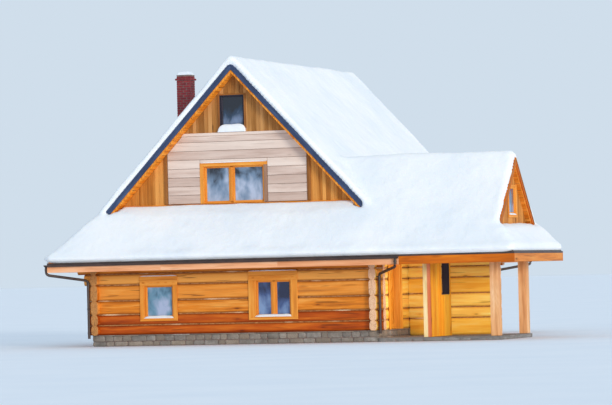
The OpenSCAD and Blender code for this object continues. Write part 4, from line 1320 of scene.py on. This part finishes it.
# ---------------------------------------------------------------- entrance
def make_entrance():
    # frame and casing
    S = Solids(101)
    x0, x1 = HW - WALL_T, HW + .03
    cbox(S, x0, HW + .004, DX, DX + .06, PLY, DTOP, .004, grain=2)
    cbox(S, x0, HW + .004, DY - .06, DY, PLY, DTOP, .004, grain=2)
    cbox(S, x0, HW + .004, DX + .06, DY - .06, DTOP - .06, DTOP, .004, grain=1)
    cbox(S, HW, x1, DX - .13, DX + .004, PLY, DTOP, .007, grain=2)
    cbox(S, HW, x1, DY - .004, DY + .13, PLY, DTOP, .007, grain=2)
    cbox(S, HW, x1, DX - .13, DY + .13, DTOP, DTOP + .16, .007, grain=1)
    S.obj("door_frame_joinery", [m_door_trim], replaces=["door_frame"])
    # leaf: framed boards with a diagonal pattern on the outside, plain boards inside
    S = Solids(102)
    X0, X1 = HW - WALL_T, HW - WALL_T + .06
    ya, yb, za, zb = DX + .065, DY - .065, PLY + .007, DTOP - .065
    st = .12
    for q in ((ya, ya + st, za, zb), (yb - st, yb, za, zb)):
        cbox(S, X0, X1, q[0], q[1], q[2], q[3], .005, grain=2)
    for z in (za, (za + zb) / 2 - .06, zb - st):
        cbox(S, X0, X1, ya + st, yb - st, z, z + st + (.05 if z == za else 0), .005, grain=1)
    r = random.Random(103)
    tof = lambda u, v, n: (X1 - .012 - n, u, v)
    for p0, p1, sg in ((za + st + .05, (za + zb) / 2 - .06, 1), ((za + zb) / 2 + .06, zb - st, -1)):
        rect = [(ya + st, p0), (yb - st, p0), (yb - st, p1), (ya + st, p1)]
        k = -30
        w = .095
        while k < 30:
            c0, c1 = k * w * math.sqrt(2), (k + 1) * w * math.sqrt(2)
            p = clip_poly(rect, 1, sg, c1 + sg * p0 + ya)
            p = clip_poly(p, -1, -sg, -(c0 + sg * p0 + ya))
            if len(p) > 2:
                plate(S, p, tof, .024, .005, grain=(.7071, -sg * .7071), gap=.001)
            k += 1
    y = ya + st
    while y < yb - st - 1e-6:
        y1 = min(y + .115, yb - st)
        cbox(S, X0 + .008, X0 + .024, y + .001, y1 - .001, za + st, zb - st, .004, grain=2)
        y = y1
    S.obj("entrance_door_leaf", [m_door], body="door", replaces=["entrance_door"])
    # ironwork: plates, lever handles, strap hinges with knuckles
    S = Solids(104)
    for s in (-1, 1):
        xf = X0 if s < 0 else X1
        sg = -1 if s < 0 else 1
        ax = lambda d: (xf + sg * d)
        lo, hi = sorted((ax(0), ax(.008)))
        cbox(S, lo, hi, DX + .11, DX + .16, PLY + .90, PLY + 1.12, .003)
        cyl(S, (ax(0), DX + .135, PLY + 1.05), (ax(.052), DX + .135, PLY + 1.05), .010, 12)
        # lever, swept with a slight curve
        pts = [Vector((ax(.051), DX + .125 + .125 * i / 8, PLY + 1.05 + .006 * math.sin(i / 8 * math.pi) - .004 * (i / 8) ** 2)) for i in range(9)]
        tube(S, pts, [.0088 - .002 * i / 8 for i in range(9)], 10)
        cyl(S, (ax(.004), DX + .135, PLY + .955), (ax(.0095), DX + .135, PLY + .955), .011, 12)
    for z in (PLY + .25, PLY + 1.62):
        cyl(S, (X0 - .006, DY - .062, z - .045), (X0 - .006, DY - .062, z + .045), .005, 12)
        p = [(DY - .064, z - .025), (DY - .064, z + .025), (DY - .33, z + .017), (DY - .385, z + .025), (DY - .42, z), (DY - .385, z - .025), (DY - .33, z - .017)]
        strap = [(q[0], q[1]) for q in p]
        n = len(strap)
        vs = [(X0 - .008, q[0], q[1]) for q in strap] + [(X0, q[0], q[1]) for q in strap]
        fs = [list(range(n)), list(range(2 * n - 1, n - 1, -1))] + [[i, (i + 1) % n, n + (i + 1) % n, n + i] for i in range(n)]
        S.add(vs, fs)
        for y in (DY - .11, DY - .2, DY - .3):
            cyl(S, (X0 - .0105, y, z), (X0 - .006, y, z), .007, 10)
    S.obj("door_ironwork", [m_iron], body="door", replaces=["door_fittings"], angle=35)


def frame_of(d):
    d = d.normalized()
    a = Vector((0, 0, 1)) if abs(d.z) < .9 else Vector((1, 0, 0))
    u = d.cross(a).normalized()
    return u, d.cross(u).normalized()


def tube(S, pts, rad, sides=10, caps=True, tone=None, mats=0):
    vs, fs = [], []
    n = len(pts)
    for i, p in enumerate(pts):
        d = (pts[min(i + 1, n - 1)] - pts[max(i - 1, 0)])
        u, v = frame_of(d)
        r = rad[i] if isinstance(rad, (list, tuple)) else rad
        for k in range(sides):
            a = 2 * math.pi * k / sides
            vs.append(p + u * math.cos(a) * r + v * math.sin(a) * r)
    sm = []
    for i in range(n - 1):
        for k in range(sides):
            k2 = (k + 1) % sides
            fs.append([i * sides + k, i * sides + k2, (i + 1) * sides + k2, (i + 1) * sides + k])
            sm.append(True)
    fs.append(list(range(sides))[::-1])
    fs.append([(n - 1) * sides + k for k in range(sides)])
    sm += [False, False]
    S.add([tuple(v) for v in vs], fs, tone=tone, smooth=sm, mats=mats)


def cyl(S, a, b, r, sides=12, tone=None):
    a, b = Vector(a), Vector(b)
    c = min(.0015, (b - a).length * .3)
    d = (b - a).normalized()
    tube(S, [a, a + d * c, b - d * c, b], [r - c, r, r, r - c], sides, tone=tone)


make_entrance()


# ---------------------------------------------------------------- rain goods
def make_rainwater():
    S = Solids(111)
    gz = EAVE - .06
    R, r = .065, .060
    fas = .03

    def gutter(axis, fixed, a, b):
        k = max(2, int((b - a) / .8))
        prof = []
        for i in range(13):
            an = math.pi + math.pi * i / 12
            prof.append((math.cos(an) * (R - .0008), math.sin(an) * (R - .0008)))
        for i in range(13):
            an = 2 * math.pi - math.pi * i / 12
            prof.append((math.cos(an) * r, math.sin(an) * r))
        n = len(prof)
        vs, fs = [], []
        us = [a, b]
        for u in us:
            for p in prof:
                vs.append((u, fixed + p[0], gz + p[1]) if axis == "x" else (fixed + p[0], u, gz + p[1]))
        for j in range(n):
            j2 = (j + 1) % n
            fs.append([j, j2, n + j2, n + j])
        fs.append(list(range(n))[::-1])
        fs.append([n + j for j in range(n)])
        S.add(vs, fs, smooth=[True] * n + [False, False])
        # stop ends
        for u, d in ((a, .003), (b, -.003)):
            m = 13
            pv = [(math.cos(math.pi + math.pi * i / 12) * (R - .0008), math.sin(math.pi + math.pi * i / 12) * (R - .0008)) for i in range(13)]
            v2, f2 = [], []
            for q in (u, u + d):
                for p in pv:
                    v2.append((q, fixed + p[0], gz + p[1]) if axis == "x" else (fixed + p[0], q, gz + p[1]))
            f2 = [list(range(m)), [m + i for i in range(m)][::-1]] + [[i, (i + 1) % m, m + (i + 1) % m, m + i] for i in range(m)]
            S.add(v2, f2)
        # brackets
        nb = int((b - a) / .75)
        for i in range(nb + 1):
            u = a + .12 + (b - a - .24) * i / nb
            pv = [(math.cos(math.pi + math.pi * t / 10) * R, math.sin(math.pi + math.pi * t / 10) * R) for t in range(11)]
            pi = [(math.cos(2 * math.pi - math.pi * t / 10) * (R - .006), math.sin(2 * math.pi - math.pi * t / 10) * (R - .006)) for t in range(11)]
            pr = pv + pi
            m = len(pr)
            v2 = []
            for q in (u - .014, u + .014):
                for p in pr:
                    v2.append((q, fixed + p[0], gz + p[1]) if axis == "x" else (fixed + p[0], q, gz + p[1]))
            f2 = [[j, (j + 1) % m, m + (j + 1) % m, m + j] for j in range(m)] + [list(range(m))[::-1], [m + j for j in range(m)]]
            S.add(v2, f2, tone=.9)
    gutter("y", -E - fas - .065, F, B)
    gutter("y", E + fas + .065, G + .25, B)
    gutter("x", F - fas - .065, -E, E)
    gutter("x", B + fas + .065, -E, E)
    S.obj("half_round_gutters", [m_gutter], replaces=["gutters"], angle=35)
    # downpipes with smooth bends and collars
    S = Solids(112)
    for sx in (-1, 1):
        for sy in (-1, 1):
            y0 = F + .06 if sy < 0 else B - .06
            y1 = -.095 if sy < 0 else D + .095
            if sx > 0 and sy < 0:
                x0, y0 = E - .09, F - .03 - .065
            else:
                x0 = sx * (E + .03 + .065)
            u = sx * (HW + .095)
            key = [Vector((x0, y0, gz - .062)), Vector((x0, y0, 2.262)), Vector((u, y1, 2.06)), Vector((u, y1, .25))]
            pts = round_path(key, .11)
            tube(S, pts, .043, 16)
            for (x, y, z, h) in ((x0, y0, 2.40, .05), (u, y1, 1.95, .06), (u, y1, 1.15, .05), (u, y1, .40, .05)):
                tube(S, [Vector((x, y, z)), Vector((x, y, z + .006)), Vector((x, y, z + h - .006)), Vector((x, y, z + h))], [.0445, .0495, .0495, .0445], 16)
            # wall ties, back to the log ends
            for z in (1.98, 1.175, .425):
                xw = sx * HW
                lo, hi = sorted((xw - sx * .05, u))
                cbox(S, lo, hi, y1 - .004, y1 + .004, z - .012, z + .012, .002)
    S.obj("round_downpipes", [m_gutter], replaces=["downpipes"], angle=35)


def round_path(key, r, k=5):
    out = [key[0]]
    for i in range(1, len(key) - 1):
        a, b, c = key[i - 1], key[i], key[i + 1]
        d1, d2 = (a - b).normalized(), (c - b).normalized()
        q = min(r, (a - b).length * .45, (c - b).length * .45)
        p0, p2 = b + d1 * q, b + d2 * q
        for j in range(k + 1):
            t = j / k
            out.append(p0 * (1 - t) ** 2 + b * 2 * t * (1 - t) + p2 * t * t)
    out.append(key[-1])
    return out


make_rainwater()


# ---------------------------------------------------------------- carried-over timber
def dress(node, mat, bevel=0.006, segments=2):
    o = NODES[node]
    o.data.materials.clear()
    o.data.materials.append(mat)
    if bevel:
        w = o.modifiers.new("weld", "WELD")
        w.merge_threshold = 0.0001
        b = o.modifiers.new("edges", "BEVEL")
        b.width = bevel
        b.segments = segments
        b.limit_method = "ANGLE"
        b.angle_limit = math.radians(35)
    return o


dress("porch_posts", m_beam_z, 0.02, 2)
dress("porch_beams", m_beam_x, 0.012)
dress("ground_floor", m_floor, 0)
dress("upper_floor", m_floor, 0)
dress("attic_floor", m_floor, 0)
dress("wing_floor", m_floor, 0)
for n in ("roof_left", "roof_right", "wing_end_roof"):
    dress(n, m_soffit_y, 0)
for n in ("front_pent_roof", "rear_pent_roof", "wing_roof_front", "wing_roof_rear"):
    dress(n, m_soffit_x, 0)
m_tail_obj = wood("rafter_tail_wood", "z", srgb(150, 84, 34), srgb(205, 128, 60), srgb(226, 160, 92), tone=0)
dress("rafter_tails", m_tail_obj, 0.006)


# ---------------------------------------------------------------- eave and verge boards
def make_edge_boards():
    S = Solids(131)
    fas, z0, z1 = .03, EAVE - ROOF_T, EAVE
    r = random.Random(132)

    def run(axis, n0, out, a, b, mat):
        """Boards along a..b standing on the plane n0, outwards in the direction out."""
        n = max(1, round((b - a) / 3.9))
        cut = [a] + [a + (b - a) * (i + r.uniform(-.06, .06)) / n for i in range(1, n)] + [b]
        for u0, u1 in zip(cut, cut[1:]):
            u0, u1 = u0 + (.0012 if u0 > a else 0), u1 - (.0012 if u1 < b else 0)
            d = .052 if mat in (1, 3) else .078
            for t1, q0, q1, c, m in ((fas - .005, z0, z1 - d - .001, .005, mat), (fas, z1 - d, z1, .002, 2)):
                lo, hi = sorted((n0, n0 + out * t1))
                if axis == "x":
                    cbox(S, u0, u1, lo, hi, q0, q1, c, grain=0, mats=m)
                else:
                    cbox(S, lo, hi, u0, u1, q0, q1, c, grain=1, mats=m)
    run("x", F, -1, -E - fas, E, 0)
    run("x", F, -1, E, WX + fas, 1)
    run("y", -E, -1, F, B, 0)
    run("x", B, 1, -E - fas, E + fas, 0)
    run("y", E, 1, G + fas, B, 0)
    run("x", G, 1, E, WX + fas, 1)
    run("y", WX, 1, F, G, 3)
    # drip flashing over the deck's edge round the wing, where the snow is thin; mitred at the hips
    cp, sp, w = math.cos(PITCH), math.sin(PITCH), .15
    h = lambda n: .0045 - n
    plate(S, [(F, 0), (G, 0), (G - w * cp, w), (F + w * cp, w)], lambda u, v, n: (WX - v * cp + h(n) * sp, u, EAVE + v * sp + h(n) * cp), .004, .0005, mats=2)
    plate(S, [(E, 0), (WX, 0), (WX - w * cp, w), (E, w)], lambda u, v, n: (u, F + v * cp - h(n) * sp, EAVE + v * sp + h(n) * cp), .004, .0005, mats=2)
    plate(S, [(E + .03, 0), (WX, 0), (WX - w * cp, w), (E + .03, w)], lambda u, v, n: (u, G - v * cp + h(n) * sp, EAVE + v * sp + h(n) * cp), .004, .0005, mats=2)
    S.obj("eave_fascia_boards", [m_fascia, m_fascia_wing, m_gutter, m_fascia_end], replaces=["fascia_boards"])
    S = Solids(133)

    def side(z0, half, zr, to3d, mat, up):
        for s in (-1, 1):
            for low, back, depth in ((.2, .012, .045), (.055, 0.0, .012)):
                a = half - (z0 + low - EAVE) / T
                b = half - (z0 - .025 - EAVE) / T
                p = [(-a * s, z0), (0, zr - low), (0, zr + .025), (-(b - .025) * s, z0 + .025 * T), (-(b - .025) * s, z0)]
                plate(S, p, to3d, depth, .004, back=back, grain=(math.cos(PITCH), s * math.sin(PITCH)), mats=mat if low > .1 else up)
    zf = ztop(YF - F) + .015
    side(zf, E, RIDGE, lambda u, v, n: (u, YF - .045 + n, v), 0, 0)
    side(zf, E, RIDGE, lambda u, v, n: (u, YB + .045 - n, v), 0, 0)
    zw = ztop(WX - WVX) + .015
    side(zw, 2.69, WRIDGE, lambda u, v, n: (WVX + .045 - n, WM + u, v), 1, 2)
    S.obj("verge_barge_boards", [m_barge, m_fascia_wing, m_post_trim], replaces=["barge_boards"])


make_edge_boards()


# ---------------------------------------------------------------- snow on the roofs
def make_snow():
    names = ["snow_left_slope", "snow_right_slope", "snow_front_slope", "snow_rear_slope", "snow_wing"]
    bm = bmesh.new()
    for n in names:
        o = NODES[n]
        me = o.data.copy()
        me.transform(o.matrix_world)
        bm.from_mesh(me)
        bpy.data.meshes.remove(me)
    # rounded lips along the eaves and verges, so that the blanket hangs over them
    up = .125

    def lip(a, b, r):
        a, b = Vector(a) + Vector((OX, OY, 0)), Vector(b) + Vector((OX, OY, 0))
        d = (b - a).normalized()
        u, v = frame_of(d)
        rings = []
        for p in (a, b):
            rings.append([bm.verts.new(p + (u * math.cos(2 * math.pi * k / 14) + v * math.sin(2 * math.pi * k / 14)) * r) for k in range(14)])
        for k in range(14):
            bm.faces.new([rings[0][k], rings[0][(k + 1) % 14], rings[1][(k + 1) % 14], rings[1][k]])
        bm.faces.new(rings[0][::-1])
        bm.faces.new(rings[1])
    ze, re, oe = EAVE + .105, .135, -.02
    lip((-E - oe, F - oe, ze), (-E - oe, B + oe, ze), re)
    lip((-E - oe, F - oe, ze), (WX - .09, F - oe, ze), re)
    lip((WX - .07, F - oe, ze), (WX - .07, G + oe, ze), re)
    lip((E, G + oe, ze), (WX - .09, G + oe, ze), re)
    lip((E + oe, G, ze), (E + oe, B + oe, ze), re)
    lip((-E - oe, B + oe, ze), (E + oe, B + oe, ze), re)
    cx, cy, h = -2.79, 3.60, .225
    zc = [ztop(E + cx + s * h) + up for s in (-1, 1)]
    for s in (-1, 1):
        lip((cx - h - .05, cy + s * h, zc[0] - .05 * T), (cx + h + .05, cy + s * h, zc[1] + .05 * T), .12)
        lip((cx + s * h, cy - h - .05, zc[(s + 1) // 2]), (cx + s * h, cy + h + .05, zc[(s + 1) // 2]), .12)
    d0 = YF - F + .05
    for y in (YF + .003, YB - .003):
        for s in (-1, 1):
            lip((s * (E - d0), y, ztop(d0) + up), (0, y, RIDGE + up), .1)
    d0 = WX - WVX + .05
    for s in (-1, 1):
        lip((WVX - .09, WM + s * (2.69 - d0), ztop(d0) + up), (WVX - .09, WM, WRIDGE + up), .1)
    me = bpy.data.meshes.new("roof_snow")
    bm.to_mesh(me)
    bm.free()
    o = bpy.data.objects.new("roof_snow", me)
    scene.collection.objects.link(o)
    r = o.modifiers.new("remesh", "REMESH")
    r.mode = "VOXEL"
    r.voxel_size = 0.093
    s = o.modifiers.new("smooth", "SMOOTH")
    s.factor = 0.5
    s.iterations = 6
    dg = bpy.context.evaluated_depsgraph_get()
    me2 = bpy.data.meshes.new_from_object(o.evaluated_get(dg))
    o.modifiers.clear()
    o.data = me2
    # soft drifts: a little swelling, broad waves and small lumps
    n = len(me2.vertices)
    co = np.empty(n * 3, np.float32)
    me2.vertices.foreach_get("co", co)
    no = np.empty(n * 3, np.float32)
    me2.vertices.foreach_get("normal", no)
    co, no = co.reshape(-1, 3), no.reshape(-1, 3)
    out = co.copy()
    for i in range(n):
        p = Vector(co[i])
        up = max(0.0, no[i][2])
        side = 1 - abs(no[i][2])
        k = 0.040 + 0.030 * noise.noise(p * 0.55) + 0.014 * noise.noise(p * 1.9 + Vector((7, 3, 1)))
        k += side * 0.018 * noise.noise(p * 3.4 + Vector((1, 9, 4)))
        if no[i][2] < -0.3:
            k = 0.0
        out[i] = co[i] + no[i] * k
    # keep the foot of the gables clear
    y = out[:, 1] - OY
    for away, lim in ((YF - y, EAVE + (y - F) * T + .272), (y - YB, EAVE + (B - y) * T + .272)):
        m = (away > .13) & (out[:, 2] > lim) & (out[:, 2] < lim + .25)
        out[m, 2] = lim[m]
    out[:, 0] = np.clip(out[:, 0], cad_lo[0] + .002, cad_hi[0] - .002)
    out[:, 1] = np.clip(out[:, 1], cad_lo[1] + .002, cad_hi[1] - .002)
    out[:, 2] = np.clip(out[:, 2], 0, cad_hi[2] - .001)
    me2.vertices.foreach_set("co", out.ravel())
    me2.polygons.foreach_set("use_smooth", [True] * len(me2.polygons))
    me2.update()
    o.data.materials.clear()
    o.data.materials.append(m_snow)
    o.name = "roof_snow_blanket"
    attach(o, "house")
    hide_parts(*names)
    return o


snow = make_snow()


def pad(S, x0, x1, y0, y1, z, h, M=None, seed=0, nx=None, ny=None, rough=.28):
    """A soft ridge of snow on a ledge."""
    nx = nx or max(4, int((x1 - x0) / .05))
    ny = ny or max(3, int((y1 - y0) / .03))
    vs, fs = [], []
    for i in range(nx + 1):
        for j in range(ny + 1):
            u, v = i / nx, j / ny
            x = x0 + (x1 - x0) * u
            y = y0 + (y1 - y0) * v
            fx = 1 - abs(2 * u - 1) ** 6
            fy = 1 - abs(2 * v - 1) ** 3.0
            k = (fx * fy) ** .5 * (1 + rough * noise.noise(Vector((x * 3.1, y * 9, seed))))
            vs.append(Vector((x, y, z + h * max(k, 0))))
    top = len(vs)
    for i in range(nx + 1):
        for j in range(ny + 1):
            vs.append(Vector((x0 + (x1 - x0) * i / nx, y0 + (y1 - y0) * j / ny, z - .002)))
    w = ny + 1
    for i in range(nx):
        for j in range(ny):
            a = i * w + j
            fs.append([a, a + w, a + w + 1, a + 1])
            fs.append([top + a, top + a + 1, top + a + w + 1, top + a + w])
    for i in range(nx):
        for j in (0, ny):
            a = i * w + j
            fs.append([a, a + w, top + a + w, top + a])
    for j in range(ny):
        for i in (0, nx):
            a = i * w + j
            fs.append([a, a + 1, top + a + 1, top + a])
    if M is not None:
        vs = [M @ v for v in vs]
    S.add([tuple(v) for v in vs], fs, smooth=True)


def make_ledge_snow():
    S = Solids(121)
    for wl, kind, n0 in ((FRONT_W, "front", 0.0), (REAR_W, "rear", D), (LEFT_W, "left", -HW), (RIGHT_W, "right", HW)):
        for i, w in enumerate(wl):
            M = place(kind, w[0], n0)
            b = w[1] / 2 + SASH
            pad(S, -b - .02, b + .02, -.033, .055, w[2] - SASH, .075, M, i + 3)
            c = b + w[4]
            pad(S, -c + .01, c - .01, -.034, .0, w[3] + SASH + .28, .03, M, i + 9)
    for kind, n0 in (("front", GF), ("rear", GB)):
        w = GABLE_W[1]
        b = w[1] / 2 + SASH
        M = place(kind, w[0], n0)
        pad(S, -b - .05, b + .05, -.098, .055, w[2] - SASH - .14, .235, M, 5, 40, 12, rough=.1)
        w = GABLE_W[0]
        b = w[1] / 2 + SASH + w[4]
        M = place(kind, w[0], n0)
        pad(S, -b + .01, b - .01, -.033, .0, w[3] + SASH + .10, .025, M, 6)
    w = WING_W[0]
    b = w[1] / 2 + SASH
    pad(S, -b - .02, b + .02, -.034, .05, w[2] - SASH, .05, place("right", WM, WGX), 8)
    # on the chimney's cap
    pad(S, -2.79 - .225, -2.79 + .225, 3.6 - .225, 3.6 + .225, 8.555, .12, None, 10, 18, 18, rough=.15)
    S.obj("ledge_snow", [m_snow])


make_ledge_snow()


# ---------------------------------------------------------------- floor, light and camera
def floor_material():
    M = Mat("pale_floor", 0.9, spec=0.1)
    v = M.coord("x")
    n1 = M.noise(v, 0.35, 3.0, 0.5)
    M.color(M.ramp(n1, [(0.3, (0.80, 0.855, 0.925, 1)), (0.7, (0.84, 0.885, 0.945, 1))]))
    return M.m


me = bpy.data.meshes.new("studio_floor")
n = 96
vs = [(0, 0, -.002)] + [(math.cos(2 * math.pi * i / n) * 900, math.sin(2 * math.pi * i / n) * 900, -.002) for i in range(n)]
me.from_pydata(vs, [], [[0, 1 + i, 1 + (i + 1) % n] for i in range(n)])
floor = bpy.data.objects.new("studio_floor", me)
me.materials.append(floor_material())
scene.collection.objects.link(floor)

world = bpy.data.worlds.new("studio")
scene.world = world
world.use_nodes = True
bg = world.node_tree.nodes["Background"]
bg.inputs[0].default_value = (0.75, 0.87, 0.99, 1)
bg.inputs[1].default_value = 0.84

sun = bpy.data.lights.new("key", "SUN")
sun.energy = 1.85
sun.angle = math.radians(16)
sun.color = (1.0, 0.93, 0.82)
so = bpy.data.objects.new("key", sun)
scene.collection.objects.link(so)
to_sun = Vector((0.74, -0.64, 0.17)).normalized()
so.rotation_mode = "QUATERNION"
so.rotation_quaternion = to_sun.to_track_quat("Z", "Y")
so.location = (30, -30, 30)

fill = bpy.data.lights.new("fill", "SUN")
fill.energy = 0.38
fill.use_shadow = False
fill.angle = math.radians(50)
fill.color = (1.0, 0.96, 0.9)
fo = bpy.data.objects.new("fill", fill)
scene.collection.objects.link(fo)
fo.rotation_mode = "QUATERNION"
fo.rotation_quaternion = Vector((0.55, -0.82, 0.12)).normalized().to_track_quat("Z", "Y")
fo.location = (10, -40, 12)

# light thrown back up by pale ground in front of the house
back = bpy.data.lights.new("ground_bounce", "SUN")
back.energy = 0.62
back.use_shadow = False
back.angle = math.radians(60)
back.color = (1.0, 0.97, 0.93)
bo = bpy.data.objects.new("ground_bounce", back)
scene.collection.objects.link(bo)
bo.rotation_mode = "QUATERNION"
bo.rotation_quaternion = Vector((0.80, -0.42, -0.42)).normalized().to_track_quat("Z", "Y")
bo.location = (30, -20, -12)

# soft panels under the porch roof, out of sight, that open up its shade
for name, at, facing, size, watts in (("porch_fill", (6.05, 1.45, 1.38), (-1, 0, 0), (2.0, 2.5), 25.0), ("porch_fill_back", (7.35, 0.6, 1.40), (0, 1, 0), (1.7, 2.0), 8.0)):
    porch = bpy.data.lights.new(name, "AREA")
    porch.shape = "RECTANGLE"
    porch.size, porch.size_y = size
    porch.energy = watts
    porch.color = (1.0, 0.95, 0.86)
    po = bpy.data.objects.new(name, porch)
    scene.collection.objects.link(po)
    po.rotation_mode = "QUATERNION"
    po.rotation_quaternion = (-Vector(facing)).to_track_quat("Z", "Y")
    po.location = (at[0] + OX, at[1] + OY, at[2])
    po.visible_camera = False
    po.visible_glossy = False

scene.view_settings.view_transform = "Standard"
scene.view_settings.look = "None"

# the photograph's place and direction, with a longer lens aimed at the house
cam_d = bpy.data.cameras.new("camera")
cam = bpy.data.objects.new("camera", cam_d)
scene.collection.objects.link(cam)
scene.camera = cam
C = Vector((37.535, -111.085, 2.11))
fwd0 = Vector((-0.4623, 0.8790, 0.1165)).normalized()
right0 = fwd0.cross(Vector((0, 0, 1))).normalized()
up0 = right0.cross(fwd0)
roll = math.radians(-0.8)
R0 = math.cos(roll) * right0 + math.sin(roll) * up0
U0 = -math.sin(roll) * right0 + math.cos(roll) * up0
PX_F = 824.7
aim_px = (429.8, 281.0)
fwd = (fwd0 * PX_F + R0 * (aim_px[0] - 306.0) - U0 * (aim_px[1] - 202.5)).normalized()
q = fwd0.rotation_difference(fwd)
R1, U1 = q @ R0, q @ U0
cam.rotation_mode = "QUATERNION"
cam.rotation_quaternion = Matrix((R1, U1, -fwd)).transposed().to_quaternion()
cam.location = C
cam_d.sensor_width = 36.0
cam_d.lens = 36.0 * PX_F * 4.42 / 612.0
cam_d.clip_start, cam_d.clip_end = 1.0, 3000.0
